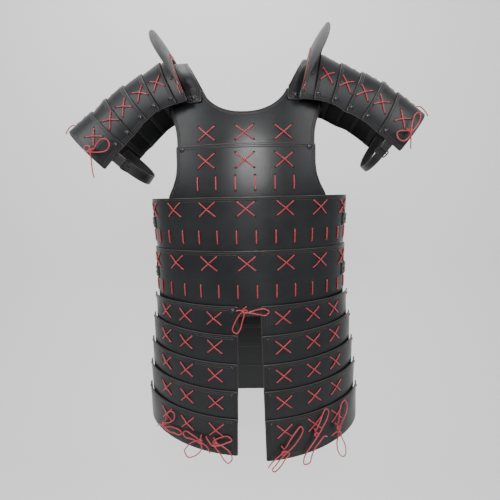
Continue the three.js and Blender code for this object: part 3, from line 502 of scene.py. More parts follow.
# %% Free cords and their knots
def catmull_rom(points, per_span=9):
    """Centripetal: knots grow by the square root of the distance, then three rounds of blending."""
    ends = np.vstack([2 * points[0] - points[1], points, 2 * points[-1] - points[-2]])
    knots = np.concatenate([[0], np.cumsum(np.linalg.norm(np.diff(ends, axis=0), axis=1) ** 0.5)])
    i = np.repeat(np.arange(len(points) - 1), per_span)
    share = np.tile(np.arange(per_span) / per_span, len(points) - 1)
    i, share = np.append(i, len(points) - 2), np.append(share, 1.0)
    k0, k1, k2, k3 = (knots[i + n][:, None] for n in range(4))
    p0, p1, p2, p3 = (ends[i + n] for n in range(4))
    x = k1 + (k2 - k1) * share[:, None]
    a1 = (k1 - x) / (k1 - k0) * p0 + (x - k0) / (k1 - k0) * p1
    a2 = (k2 - x) / (k2 - k1) * p1 + (x - k1) / (k2 - k1) * p2
    a3 = (k3 - x) / (k3 - k2) * p2 + (x - k2) / (k3 - k2) * p3
    b1 = (k2 - x) / (k2 - k0) * a1 + (x - k0) / (k2 - k0) * a2
    b2 = (k3 - x) / (k3 - k1) * a2 + (x - k1) / (k3 - k1) * a3
    return (k2 - x) / (k2 - k1) * b1 + (x - k1) / (k2 - k1) * b2


def knot_line(middle, across, upright, outward):
    """Two and a quarter turns of a flat spiral round the middle: the wraps of a tied bow."""
    t = np.linspace(0, 4.5 * np.pi, 46)[:, None]
    wide = across * np.cos(t) * 3.6 + upright * np.sin(t) * 2.9
    return middle + wide + outward * (t / (4.5 * np.pi) - 0.5) * 4.5


def free_cord(name, points, outward, knot_at=None):
    """The tube along the route and its knot; the part of the same name in the solid model is hidden."""
    line = catmull_rom(points)
    piece = tube_piece(name + "_cord", line[None], CORD_RADIUS, 8, red_cord)
    if knot_at is not None:
        across = unit(np.cross(np.array([0, 0, 1.0]), outward))
        wrap = knot_line(knot_at, across, np.cross(outward, across), outward)[None]
        tube_piece(name + "_knot", wrap, CORD_RADIUS, 8, red_cord)
    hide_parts(name)


HOLE_OUT = np.array([0.5, 3.2])  # the first two points of a bow stand this far off the leather
KNOT_OUT = 15.0
GUARD_KNOT_OUT = 9.0
bow_plates = {  # top, bottom, and how far both rise at the side
    "band": (bands["lower"]["top"], bands["lower"]["bottom"], 0.0, 0.0),
    "right": (-709, -783, *LAME_RISES[4:]),
    "left": (-712, -794, *LAME_RISES[4:]),
}
for name, (on, arc, z, route) in torso_bows.items():
    rows = np.array(route, float)
    angles = angle_at_arc(arc + rows[:, 0], z, whole_degrees=True)
    top, bottom, *rises = bow_plates[on]
    hole_z = z + rows[0, 1]
    high, low = (raised(edge, rise, angles[0]) for edge, rise in zip((top, bottom), rises))
    lift = top_lift(top - bottom, OVERLAP) * (hole_z - low) / (high - low)
    hole = torso_point(angles[0], hole_z, lift + WALL + HOLE_OUT)
    points = np.vstack([hole, torso_point(angles[1:], z + rows[1:, 1], rows[1:, 2])])
    outward = unit(hole[1] - hole[0])
    free_cord(name, points, outward, torso_point(angle_at_arc(arc, z), z - 1, KNOT_OUT))

for name, (side, degrees, along, route) in guard_bows.items():
    rows = np.array(route, float)
    angle, step = math.radians(degrees), 0.01
    face = lambda t, a: guard_point(side, np.array(t), a, guard_lift(5, 6, t) + WALL)
    middle = face(along, angle)
    to_front = unit(face(along, angle + step) - face(along, angle - step))
    to_hem = unit(face(along + step, angle) - face(along - step, angle))
    outward = unit(np.cross(to_front, to_hem)) * SIGNS[side]
    points = middle + rows[:, :1] * to_front + rows[:, 1:2] * to_hem + rows[:, 2:] * outward
    knot = None if name.startswith("cord_end") else middle - to_hem + GUARD_KNOT_OUT * outward
    free_cord(name, points, outward, knot)

# %% [markdown]
# The leather is vegetable tanned hide, dyed black and polished. Close up it has a pebbled grain and
# fine creases, its border carries two lines pressed with a creasing tool, and the cut edge is burnished
# brown, painted lighter as a highlight on the rounded rim. The lines and the edge need to know how far
# each point is from the rim, so every plate carries that distance as an attribute called rim.

# %% Black leather
def leather(name, colour, rim_brown_and_highlight, lines, roughness):
    """Noise mottles the dye, cells make the grain, and notches in the rim distance press the lines."""
    material, shader, node, links = start_material(name, colour, roughness)
    shader.inputs["Specular IOR Level"].default_value = 0.36
    shader.inputs["Coat Weight"].default_value = 0.06
    shader.inputs["Coat Roughness"].default_value = 0.3
    place = node("ShaderNodeTexCoord").outputs["Object"]
    rim = node("ShaderNodeAttribute", {"attribute_name": "rim"}).outputs["Fac"]
    cloud = noise(node, 14.0, 5.0, Roughness=0.6)
    fine = noise(node, 420.0, 4.0, Roughness=0.6)
    cells = node("ShaderNodeTexVoronoi", {"feature": "SMOOTH_F1"}, Scale=620.0, Vector=place)
    creases = node("ShaderNodeTexVoronoi", {"feature": "DISTANCE_TO_EDGE"}, Scale=48.0, Vector=place)

    def near(distance, start, end):
        return node("ShaderNodeMapRange", {"interpolation_type": "SMOOTHSTEP"},
                    i0=distance, i1=start, i2=end, i3=1.0, i4=0.0).outputs[0]

    grooves = 0.0
    for at, width in lines:
        off = maths(node, "ABSOLUTE", maths(node, "SUBTRACT", rim, at))
        grooves = maths(node, "MAXIMUM", grooves, near(off, 0.0, width))
    # Near the rim the colour turns lighter brown: the burnished cut edge, and a painted highlight along the
    # rounded rim.
    burnish_and_highlight = near(rim, 0.0006, 0.0020)

    mottled = node("ShaderNodeMapRange", i0=cloud, i1=0.35, i2=0.75, i3=0.0, i4=0.6).outputs[0]
    dyed = colour_mix(node, mottled, colour, tuple(c * 1.7 for c in colour))
    edged = colour_mix(node, maths(node, "MULTIPLY", burnish_and_highlight, 0.8), dyed, rim_brown_and_highlight)
    pressed_colour = tuple(c * 0.8 for c in rim_brown_and_highlight)
    final = colour_mix(node, maths(node, "MULTIPLY", grooves, 0.55), edged, pressed_colour)
    links.new(final, shader.inputs["Base Color"])

    gloss = node("ShaderNodeMapRange", i0=cloud, i1=0.3, i2=0.75,
                 i3=roughness - 0.06, i4=roughness + 0.10)
    links.new(gloss.outputs[0], shader.inputs["Roughness"])

    grain = maths(node, "ADD", maths(node, "MULTIPLY", cells.outputs[0], 0.5), fine)
    fold = node("ShaderNodeMapRange", i0=creases.outputs[0], i1=0.0, i2=0.08, i3=-0.25, i4=0.0)
    height = maths(node, "ADD", grain, fold.outputs[0])
    surface = node("ShaderNodeBump", Strength=0.28, Distance=0.0004, Height=height)
    pressed = node("ShaderNodeBump", {"invert": True}, Strength=0.9, Distance=0.0009,
                   Height=grooves, Normal=surface.outputs[0])
    links.new(pressed.outputs[0], shader.inputs["Normal"])
    return material


# The second colour of each is the rim's brown, light enough to paint the highlight on the edge as well.
plate_leather = leather("black_plate_leather", (0.0040, 0.0043, 0.0050), (0.032, 0.023, 0.021),
                        [(0.0042, 0.0008), (0.0078, 0.0008)], 0.37)
strap_leather = leather("black_strap_leather", (0.010, 0.010, 0.011), (0.06, 0.045, 0.04),
                        [(0.0030, 0.0006)], 0.45)
print("leather finishes:", plate_leather.name, strap_leather.name)

# %% Hole shadow, thread and dark metal
def fine_finish(name, colour, roughness, metallic, scale, detail, strength, spread=None):
    """A plain finish with a fine bump; the same noise may also spread its roughness."""
    material, shader, node, links = start_material(name, colour, roughness, metallic)
    grain = noise(node, scale, detail)
    if spread is not None:
        gloss = node("ShaderNodeMapRange", i0=grain, i1=0.3, i2=0.8, i3=spread[0], i4=spread[1])
        links.new(gloss.outputs[0], shader.inputs["Roughness"])
    bump = node("ShaderNodeBump", Strength=strength, Distance=0.0002, Height=grain)
    links.new(bump.outputs[0], shader.inputs["Normal"])
    return material


# Flat black for discs and lines put where a hole or slot only shows shade: painted shadow.
painted_shadow_black = start_material("painted_hole_shadow", (0.002, 0.002, 0.002), 0.9)[0]
thread_dark = fine_finish("waxed_thread", (0.05, 0.035, 0.032), 0.5, 0.0, 900.0, 2.0, 0.4)
dark_metal = fine_finish("blackened_steel", (0.045, 0.045, 0.05), 0.28, 0.9, 220.0, 5.0, 0.12, (0.2, 0.45))
print("metal and thread are ready")

# %% [markdown]
# A plate is a closed shell. Outer and inner face are the same grid at two heights that meet at the
# rim in a half round, as an edge that was sanded and burnished. The grid lines crowd together near
# the rim. Corners are rounded by squeezing the square corner of the grid into a quarter disc.

# %% Leather shells
RIM_ROUND = 1.5
CORNER = 5.0


def rim_places(length, step):
    """Places from 0 to 1: a few close to each end for the rounded rim, even steps between them."""
    near = np.array([0, 0.12, 0.45, 0.95, 1.6])
    count = max(2, int(round((length - 5.6) / step)))
    return np.concatenate([near, np.linspace(2.8, length - 2.8, count + 1), length - near[::-1]]) / length


def leather_shell(name, surface, width, height, material=plate_leather,
                  wall=WALL, step=5.0, corner=CORNER):
    """surface(u, v, out) on a grid; out is a half circle of the distance to the rim, both sides."""
    reference = float(np.max(height(np.linspace(0, 1, 9)))) if callable(height) else height
    grid_u, grid_v = np.meshgrid(rim_places(width, step), rim_places(reference, step))
    tall = height(grid_u) if callable(height) else np.full_like(grid_u, height)
    x, y = grid_u * width, grid_v * tall
    to_side, to_end = np.minimum(x, width - x), np.minimum(y, tall - y)
    p, q = np.clip(1 - to_side / corner, 0, 1), np.clip(1 - to_end / corner, 0, 1)
    pm, qm = p * np.sqrt(1 - q * q / 2), q * np.sqrt(1 - p * p / 2)
    x = x + np.where(x < width / 2, 1, -1) * corner * (p - pm)
    y = y + np.where(y < tall / 2, 1, -1) * corner * (q - qm)
    rim = np.where((p > 0) & (q > 0), corner * (1 - np.hypot(pm, qm)), np.minimum(to_side, to_end))
    bulge = np.sqrt(np.clip(1 - (1 - np.clip(rim / RIM_ROUND, 0, 1)) ** 2, 0, 1)) * wall / 2
    outer = surface(x / width, y / tall, wall / 2 + bulge)
    inner = surface(x / width, y / tall, wall / 2 - bulge)
    rows, columns = grid_u.shape
    outside = np.arange(rows * columns).reshape(rows, columns)
    inside = outside.copy()
    inner_count = (rows - 2) * (columns - 2)
    inside[1:-1, 1:-1] = rows * columns + np.arange(inner_count).reshape(rows - 2, columns - 2)
    quads = np.concatenate([grid_faces(outside), grid_faces(inside)[:, ::-1]])

    def both(values):
        """The values of the outer grid, then those of the inner grid without its rim."""
        size = values.shape[2] if values.ndim == 3 else 1
        return np.concatenate([values.reshape(-1, size), values[1:-1, 1:-1].reshape(-1, size)])

    points = np.concatenate([outer.reshape(-1, 3), inner[1:-1, 1:-1].reshape(-1, 3)])
    uv = both(np.stack([x, y], -1)) * MM
    piece = new_piece(name + "_leather", points, [quads], material, uv, {"rim": both(rim) * MM})
    across = float(np.linalg.norm(np.diff(outer, axis=1), axis=-1).sum(axis=1).max())
    down = float(np.linalg.norm(np.diff(outer, axis=0), axis=-1).sum(axis=0).max())
    a, b = outer[1:, 1:] - outer[:-1, :-1], outer[1:, :-1] - outer[:-1, 1:]
    area = np.linalg.norm(np.cross(a, b), axis=-1).sum() / 2
    area = float(min(area, across * down) * MM * MM)
    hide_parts(name)
    flat_cuts[name] = (round(across), round(down), round(area * 10000))


flat_cuts = {}
print("rim steps of a 56 mm strip:", len(rim_places(56, 5)))

# %% [markdown]
# Lacing. A run comes up through one hole, lies on the leather, and goes down through the next.
# Its centre line follows the plate from hole to hole and dips at both ends. The second run of a
# cross rides over the first. Under the end of each run lies a flat black disc, the painted shadow of its
# hole.

# %% Lacing, holes and rivets
LACE_RADIUS = 1.2
HOLE_SHADOW_RADIUS = 2.5
DIP_LENGTH, DIP_DEPTH = 3.4, 3.6
HUMP_LENGTH = 6.0


def lacing_lines(face, start, end, over):
    """Places are straight between the holes; height dips at the ends and humps where a run crosses."""
    start, end = np.atleast_2d(start), np.atleast_2d(end)
    s = np.linspace(0, 1, 19)
    s = 0.5 - 0.5 * np.cos(np.pi * s) * (0.55 + 0.45 * np.abs(np.cos(np.pi * s)))
    a = start[:, :1] + (end - start)[:, :1] * s
    b = start[:, 1:] + (end - start)[:, 1:] * s
    flat = face(a, b, 0.0)
    length = np.linalg.norm(np.diff(flat, axis=1), axis=-1).sum(axis=1)[:, None]
    near = np.minimum(s, 1 - s) * length
    dip = np.clip(1 - near / DIP_LENGTH, 0, 1) ** 2
    hump = np.exp(-(((s - 0.5) * length) / HUMP_LENGTH) ** 2) * np.asarray(over, float).reshape(-1, 1)
    return face(a, b, LACE_RADIUS * 0.92 - dip * DIP_DEPTH + hump * LACE_RADIUS * 1.65)


def discs(face, spots, radius, profile, name, material, sides):
    """A profile of radius shares and heights, turned round the normal at every spot."""
    spots = np.atleast_2d(spots)
    a, b = spots[:, 0], spots[:, 1]
    foot = face(a, b, 0.0)
    normal = unit(face(a, b, 1.0) - foot)
    side = unit(np.cross(normal, np.eye(3)[np.argmin(np.abs(normal), axis=-1)]))
    other = np.cross(normal, side)
    turns = np.arange(sides) * 2 * np.pi / sides
    ring = side[:, None] * np.cos(turns)[:, None] + other[:, None] * np.sin(turns)[:, None]
    profile = np.array(profile, float)
    radius = np.broadcast_to(radius, len(spots))[:, None, None, None]
    points = (foot[:, None, None] + ring[:, None] * profile[:, 0][:, None, None] * radius
              + normal[:, None, None] * profile[:, 1][:, None, None] * radius)
    index = np.arange(len(spots) * len(profile) * sides).reshape(len(spots), len(profile), sides)
    return new_piece(name, points.reshape(-1, 3), ring_faces(index), material)


# A nearly flat black disc over each hole: painted shadow, not a cut.
HOLE_SHADOW_DISC = [(1.0, -0.3), (1.0, 0.05), (0.75, 0.09), (0.2, 0.1)]
DOME = [(0.95, -0.2), (1.0, 0.0), (1.02, 0.08), (0.95, 0.2),
        (0.78, 0.38), (0.52, 0.52), (0.22, 0.59), (0.05, 0.6)]


def crosses(centres, reach):
    """First every cross's run from low to high, then the runs from high to low and over them."""
    flip = reach * np.array([1, -1])
    start = np.concatenate([centres - reach, centres - flip])
    end = np.concatenate([centres + reach, centres + flip])
    over = np.concatenate([np.zeros(len(centres)), np.ones(len(centres))])
    return start, end, over


def lace(name, face, runs):
    """All runs of one plate as one piece, and a black disc under each end as another: the painted shadow of
    its hole.
    """
    start = np.concatenate([r[0] for r in runs])
    end = np.concatenate([r[1] for r in runs])
    over = np.concatenate([r[2] for r in runs])
    lines = lacing_lines(face, start, end, over)
    tube_piece(name + "_lacing", lines, LACE_RADIUS, 8, red_cord)
    ends = np.concatenate([start, end])
    discs(face, ends, HOLE_SHADOW_RADIUS, HOLE_SHADOW_DISC, name + "_hole_shadows", painted_shadow_black, 10)


def rivets(name, face, spots, radius):
    """Domed rivet heads at the given places."""
    discs(face, spots, radius, DOME, name + "_rivets", dark_metal, 18)


print("holes are", 2 * HOLE_SHADOW_RADIUS, "mm wide")

# %% [markdown]
# Sewing. A line of small thread stitches runs inside the border of the breast and back plates.
# The path is sampled finely, measured, and cut into equal stitches by interpolation.

# %% Rows of thread stitches
THREAD_RADIUS = 0.42
STITCH_PITCH, STITCH_LENGTH = 4.4, 3.0


def thread_row(name, line, normal):
    """Stitches of equal length at equal steps along a measured line, each arched over the leather."""
    steps = np.linalg.norm(np.diff(line, axis=0), axis=1)
    measured = np.concatenate([[0], np.cumsum(steps)])
    starts = np.arange(0.5, measured[-1] - STITCH_LENGTH, STITCH_PITCH)
    at = starts[:, None] + np.linspace(0, 1, 5) * STITCH_LENGTH
    pick = lambda values: np.stack([np.interp(at, measured, values[:, i]) for i in range(3)], -1)
    arch = np.array([-0.5, 0.1, 0.3, 0.1, -0.5])[None, :, None]
    lines = pick(line) + pick(normal) * arch
    tube_piece(name, lines, THREAD_RADIUS, 6, thread_dark)


print("stitches are", STITCH_LENGTH, "mm long,", STITCH_PITCH, "mm apart")

# %% [markdown]
# Breast and back. The side line of these plates is a table, because the armholes cut into them, and
# the neckline is a power curve. The back follows the same tables, with a higher neckline.

# %% Breast and back plates
upper_sides = np.array([  # height, half width
    [-62, 138], [-84, 150], [-103, 153], [-120, 145], [-142, 138], [-160, 135], [-190, 134]], float)
lower_sides = np.array([
    [-178, 134], [-209, 134], [-231, 136], [-253, 143], [-276, 155], [-291, 160]], float)
NECK_SHARE = 4 / 7
SHOULDER_TOP = -70
CHEST_CROSS = (17.5, 14.5)
CHEST_STITCH_Z, CHEST_RIVET_Z, CHEST_RIVET_ARC = -253.0, -185.5, 127.0
BORDER_INSET = 7.0


def neckline(across, neck):
    """A power curve from the neck's lowest point up to the straight shoulder edge."""
    share = np.abs(across) / NECK_SHARE
    curve = neck + (SHOULDER_TOP - neck) * np.minimum(share, 1) ** 2.5
    shoulder = SHOULDER_TOP + 4 * (np.abs(across) - NECK_SHARE) / (1 - NECK_SHARE)
    return np.where(share >= 1, shoulder, curve)


def chest_functions(sides, top_at, bottom, back, lift):
    """The plate by its two shares, and its outer face by the angle and height on the torso."""
    def surface(u, v, out):
        across = 2 * u - 1
        z = top_at(across) + (bottom - top_at(across)) * v
        x = across * through(-sides[:, 0], sides[:, 1], -z)
        angle = np.arcsin(x / torso_size(HALF_WIDTH, z))
        return torso_point(math.pi - angle if back else angle, z, lift * (1 - v) + out)

    def face(angle, z, out):
        turned = np.pi - angle if back else angle
        across = torso_size(HALF_WIDTH, z) * np.sin(turned) / through(-sides[:, 0], sides[:, 1], -z)
        v = (top_at(across) - z) / (top_at(across) - bottom)
        return torso_point(angle, z, lift * (1 - v) + WALL + out)

    return surface, face


def cross_reach(face, a, b, half_width, half_height):
    """Millimetres turned into steps of the two places, by the slope of the face at each."""
    step = 1e-3
    slope = np.linalg.norm(face(a + step, b, 0.0) - face(a - step, b, 0.0), axis=-1) / (2 * step)
    fall = np.linalg.norm(face(a, b + step, 0.0) - face(a, b - step, 0.0), axis=-1) / (2 * step)
    return half_width / slope, half_height / fall


def place_crosses(face, a, b, size):
    """Crosses at the places (a, b), of one half width and half height in millimetres."""
    a, b = np.broadcast_arrays(np.asarray(a, float), b)
    reach = np.stack(cross_reach(face, a, b, *size), -1)
    return crosses(np.stack([a, b], -1), reach)


def place_stitches(a, b, half=14.0):
    """Upright runs at the places (a, b)."""
    a, b = np.broadcast_arrays(np.asarray(a, float), np.asarray(b, float))
    return np.stack([a, b + half], -1), np.stack([a, b - half], -1), np.zeros(len(a))


def border_line(surface, width, height_at):
    """A path at the inset from both sides and the top edge, with its outward normal."""
    edge = BORDER_INSET / width
    u = np.concatenate([np.full(60, edge), np.linspace(edge, 1 - edge, 260), np.full(60, 1 - edge)])
    fall = np.concatenate([np.linspace(1, 0, 60), np.zeros(260), np.linspace(0, 1, 60)])
    v = np.maximum(fall, BORDER_INSET / height_at(u))
    line = surface(u, v, WALL)
    return line, unit(surface(u, v, WALL + 1) - line)


for back in (False, True):
    node = "back_plate" if back else "breast_plate"
    centre = math.pi if back else 0.0
    neck = -84 if back else -116
    top_of = lambda across, neck=neck: neckline(across, neck)
    flat_top = lambda across: np.full_like(across, -178.0)
    lower_lift = top_lift(113, OVERLAP)
    plates = {
        "upper": (upper_sides, top_of, -190.0, 0.0, 290.0),
        "lower": (lower_sides, flat_top, -291.0, lower_lift, 300.0),
    }
    for part, (sides, top_at, bottom, lift, width) in plates.items():
        name = f"{node}_{part}"
        surface, face = chest_functions(sides, top_at, bottom, back, lift)
        tall = lambda u, top_at=top_at, bottom=bottom: top_at(2 * u - 1) - bottom
        leather_shell(name, surface, width, tall)
        cross_z = -157.0 if part == "upper" else -210.0
        cross_angles = angle_at_arc(CROSS_PITCH * np.array([-1, 0, 1]), cross_z, centre)
        runs = [place_crosses(face, cross_angles, cross_z, CHEST_CROSS)]
        if part == "lower":
            arcs = (np.arange(6) - 2.5) * CROSS_PITCH / 2
            runs.append(place_stitches(angle_at_arc(arcs, CHEST_STITCH_Z, centre), CHEST_STITCH_Z))
            ends = CHEST_RIVET_ARC * np.array([-1, 1])
            spots = np.stack([angle_at_arc(ends, CHEST_RIVET_Z, centre), np.full(2, CHEST_RIVET_Z)], -1)
            rivets(name, face, spots, 5.8)
        lace(name, face, runs)
        thread_row(name + "_thread", *border_line(surface, width, tall))
print("chest plates:", [k for k in flat_cuts if "plate" in k])

# %% [markdown]
# Waist bands and skirt. Each strip stands out at its top edge and lies on the torso at its bottom
# edge, so the next one tucks over it. One function gives all of them: the bands run round the front
# and the back, the tassets round half of the front each, the back skirt round the whole back.

# %% Bands and strips of the torso
def strip_functions(first, last, top, bottom, lift, rises=(0.0, 0.0), flare=0.0, inner_at=None):
    """Angle from first to last, height from top to bottom, both edges raised towards the sides."""
    height = lambda angle, v: raised(top, rises[0], angle) * (1 - v) + raised(bottom, rises[1], angle) * v

    def out_at(angle, v):
        return (lift + flare * np.sin(angle) ** 6) * (1 - v)

    def surface(u, v, out):
        start = first if inner_at is None else inner_at(top + (bottom - top) * v)
        angle = start + (last - start) * u
        return torso_point(angle, height(angle, v), out_at(angle, v) + out)

    def face(angle, z, out):
        high, low = raised(top, rises[0], angle), raised(bottom, rises[1], angle)
        v = (high - z) / (high - low)
        return torso_point(angle, z, out_at(angle, v) + WALL + out)

    return surface, face


def strip_width(first, last, z):
    """Arc length between two angles at one height."""
    line = torso_point(np.linspace(first, last, 60), z, WALL)
    return float(np.linalg.norm(np.diff(line, axis=0), axis=1).sum())


for level, band in bands.items():
    tall = band["top"] - band["bottom"]
    lift = top_lift(tall, OVERLAP, band["gap"])
    for half, first, last, reach in (("front", -95, 95, 3), ("back", 105, 255, 2)):
        first, last = math.radians(first), math.radians(last)
        centre = (first + last) / 2
        surface, face = strip_functions(first, last, band["top"], band["bottom"], lift)
        name = f"waist_band_{half}_{level}"
        leather_shell(name, surface, strip_width(first, last, band["cross"]), tall)
        arcs = np.arange(-reach, reach + 1) * CROSS_PITCH
        feet = np.concatenate([arcs - CROSS_PITCH / 4, arcs + CROSS_PITCH / 4])
        cross_angles = angle_at_arc(arcs, band["cross"], centre)
        lace(name, face, [
            place_crosses(face, cross_angles, band["cross"], CHEST_CROSS),
            place_stitches(angle_at_arc(feet, band["stitch"], centre), band["stitch"]),
        ])
print("waist bands done")

# %% Tassets and back skirt
LAME_CROSS = (16, 13.5)
CROSS_DROP = 25.0  # from the top edge of a strip to the middle of its crosses
FIRST_LAP = 20  # the first strip tucks further under the waist band
for side, tasset in tassets.items():
    sign, tops, hem, inner = (tasset[key] for key in ("sign", "tops", "hem", "inner"))
    outer_angle = sign * math.radians(86)

    def inner_at(z, sign=sign, tops=tops, hem=hem, inner=inner):
        """The straight inner edge: x from the first to the last value, turned into an angle."""
        x = inner[0] + (inner[1] - inner[0]) * (tops[0] - z) / (tops[0] - hem)
        return sign * np.arcsin(x / torso_size(HALF_WIDTH, z))

    for row, top in enumerate(tops):
        bottom = hem if row == 4 else tops[row + 1] - OVERLAP
        lift = top_lift(top - bottom, FIRST_LAP if row == 0 else OVERLAP, LAME_GAPS["front"][row])
        rises = LAME_RISES[row:row + 2]
        surface, face = strip_functions(None, outer_angle, top, bottom, lift, rises, 3.5, inner_at)
        name = f"tasset_{side}_lame_{row + 1}"
        width = strip_width(float(inner_at(np.array(float(top)))), outer_angle, top)
        leather_shell(name, surface, width, top - bottom, corner=3.5)
        angles = angle_at_arc(sign * np.array([67.0, 131.0, 187.0]), top - CROSS_DROP)
        cross_z = raised(top, rises[0], angles) - CROSS_DROP
        lace(name, face, [place_crosses(face, angles, cross_z, LAME_CROSS)])
        inset = math.radians(3.2)
        inner_spot = float(inner_at(np.array(float(top)))) + sign * inset
        outer_spot = outer_angle - sign * inset
        spots = np.array([
            [inner_spot, raised(top, rises[0], inner_spot) - 8],
            [outer_spot, raised(top, rises[0], outer_spot) - 9],
        ])
        rivets(name, face, spots, np.array([5.2 if row == 0 and side == "right" else 2.6, 3.0]))

for row, top in enumerate(skirt_back["tops"]):
    tops = skirt_back["tops"]
    bottom = skirt_back["hem"] if row == 4 else tops[row + 1] - OVERLAP
    lift = top_lift(top - bottom, FIRST_LAP if row == 0 else OVERLAP, LAME_GAPS["back"][row])
    first, last = math.radians(98), math.radians(262)
    rises = LAME_RISES[row:row + 2]
    surface, face = strip_functions(first, last, top, bottom, lift, rises)
    name = f"skirt_back_lame_{row + 1}"
    leather_shell(name, surface, strip_width(first, last, top), top - bottom, corner=3.5)
    angles = angle_at_arc(np.arange(-3, 4) * 58.0, top - CROSS_DROP, math.pi)
    cross_z = raised(top, rises[0], angles) - CROSS_DROP
    lace(name, face, [place_crosses(face, angles, cross_z, LAME_CROSS)])
    rivets(name, face, [[a, raised(top, rises[0], a) - 9] for a in (first + 0.06, last - 0.06)], 3.0)
print("skirt strips:", sum("lame" in k for k in flat_cuts))

# %% [markdown]
# Shoulder guards. The same kind of strip on the arched surface. The first strip is plain and carries
# the collar wing, a leather fan sewn on with close red whip stitches.

# %% Shoulder guards
def guard_functions(side, first, last):
    """u runs over the arch from back to front, v from the neck edge to the arm edge."""
    def surface(u, v, out):
        t = first + (last - first) * v
        return guard_point(side, t, math.pi * (u - 0.5), guard_lift(first, last, t) + out)

    def face(angle, t, out):
        return guard_point(side, t, angle, guard_lift(first, last, t) + WALL + out)

    return surface, face


def arch_length(side, t):
    """Length over the arch at one station."""
    line = guard_point(side, np.full(60, float(t)), np.linspace(-np.pi / 2, np.pi / 2, 60), 0.0)
    return float(np.linalg.norm(np.diff(line, axis=0), axis=1).sum())


def mirrored(degrees, t):
    """Two places at one station, before and behind the ridge."""
    return [[math.radians(-degrees), t], [math.radians(degrees), t]]


GUARD_CROSS = (15, 14)
for side in SIGNS:
    for strip in range(6):
        last = 6.0 if strip == 5 else strip + 1 + GUARD_LAP
        surface, face = guard_functions(side, float(strip), last)
        name = f"shoulder_plate_{side}" if strip == 0 else f"shoulder_guard_{side}_lame_{strip}"
        spans = guard_point(side, np.linspace(strip, last, 20), 0.0, 0.0)
        tall = float(np.linalg.norm(np.diff(spans, axis=0), axis=1).sum())
        leather_shell(name, surface, arch_length(side, strip + 0.5), tall, corner=4.0)
        if strip == 0:
            rivets(name, face, mirrored(62.0, 0.55), 4.0)
            continue
        angles = np.radians([-60.0, 0.0, 60.0])
        lace(name, face, [place_crosses(face, angles, strip + 0.48, GUARD_CROSS)])
        rivets(name, face, mirrored(83.0, strip + 0.2), 4.8)
print("guard strips:", sum("guard" in k for k in flat_cuts))

# %% Collar wings
WING = {"start": 0.14, "lift": 9, "up": 49, "up_at_ends": 8,
        "out": 35, "bulge": 12, "spread": 9, "reach": 84}
WHIP = {"count": 58, "reach": 80, "lean": 1.2, "on_wing": 0.12, "on_plate": 0.20, "radius": 0.75}


def wing_middle(side, angle, v):
    """The inner arch raised and flared: most at the ridge, little at the front and back ends."""
    rise = WING["up_at_ends"] + WING["up"] * np.cos(angle)
    out = WING["out"] * np.cos(angle) + WING["bulge"] * np.sin(2 * angle) ** 2
    spread = -WING["spread"] * np.sin(2 * np.abs(angle)) * np.sign(angle)
    moved = np.stack([SIGNS[side] * out * np.maximum(v, 0) ** 1.3, spread * v, rise * v], -1)
    return guard_point(side, np.full_like(angle, WING["start"]), angle, WING["lift"]) + moved


def wing_surface(side):
    """The middle face moved along its normal; the shell's wall lies half on each side."""
    def surface(u, v, out):
        angle = np.radians(WING["reach"]) * (2 * u - 1)
        inner = np.clip(v, 0.01, 0.99)
        step = 0.002
        slope_a = wing_middle(side, angle + step, inner) - wing_middle(side, angle - step, inner)
        slope_v = wing_middle(side, angle, inner + step) - wing_middle(side, angle, inner - step)
        normal = unit(np.cross(slope_a, slope_v)) * SIGNS[side]
        return wing_middle(side, angle, v) + normal * (out - WALL / 2)[..., None]
    return surface


for side in SIGNS:
    surface = wing_surface(side)
    leather_shell(f"collar_wing_{side}", surface, 290.0, 52.0, step=4.5, corner=7.0)
    angle = np.radians(np.linspace(-WHIP["reach"], WHIP["reach"], WHIP["count"]))
    height = np.full_like(angle, WHIP["on_wing"])
    on_wing = wing_middle(side, angle, height)
    share = (angle / np.radians(WING["reach"]) + 1) / 2
    outward = unit(surface(share, height, np.full_like(angle, 5.0)) - on_wing)
    on_plate = guard_lift(0.0, 1 + GUARD_LAP, WHIP["on_plate"]) + WALL + 0.2
    low = guard_point(side, WHIP["on_plate"], angle + math.radians(WHIP["lean"]), on_plate)
    s = np.linspace(0, 1, 9)[None, :, None]
    bow = np.sin(np.pi * s) * 2.2
    for face_name, flip in (("outer", 1), ("inner", -1)):
        top = on_wing + outward * (2.1 * flip)
        foot = low if flip > 0 else on_wing + outward * -1.8 - np.array([0, 0, 5.0])
        lines = top[:, None] * (1 - s) + foot[:, None] * s + outward[:, None] * bow * (0.6 * flip)
        name = f"collar_wing_{side}_whip_{face_name}"
        tube_piece(name, lines, WHIP["radius"], 6, red_cord)
print("collar wings sewn with", WHIP["count"], "whip stitches each")

# %% [markdown]
# Straps. Shoulder straps carry everything; side straps close the waist; arm straps hold the guards.
# They are softer leather; the side straps are sewn along the edges, and side and arm straps close with
# blackened buckles.

# %% Shoulder straps
YOKE = {"end_x": 97, "edge_x": 101, "ridge_x": 138, "end_z": -96, "edge_z": -66,
        "width": 32, "edge": 0.86, "gap": 0.9}


def yoke_middle(sign, v, s):
    """A quarter turn from front edge to ridge and again to the back, then straight down the chest."""
    over = np.minimum(np.abs(v) / YOKE["edge"], 1) * np.pi / 2
    below = np.maximum(np.abs(v) - YOKE["edge"], 0) / (1 - YOKE["edge"])
    z = YOKE["edge_z"] * (1 - np.cos(over)) + (YOKE["end_z"] - YOKE["edge_z"]) * below
    x = YOKE["edge_x"] + (YOKE["ridge_x"] - YOKE["edge_x"]) * np.cos(over)
    x = x + (YOKE["end_x"] - YOKE["edge_x"]) * below + s * YOKE["width"]
    level = np.minimum(z, YOKE["edge_z"])
    reach = np.where(v < 0, torso_size(IN_FRONT, level), torso_size(BEHIND, level))
    bend = np.sqrt(1 - (x / torso_size(HALF_WIDTH, level)) ** 2)
    y = np.sign(v) * reach * np.sin(over) * bend
    return np.stack([sign * x, y, z], -1)


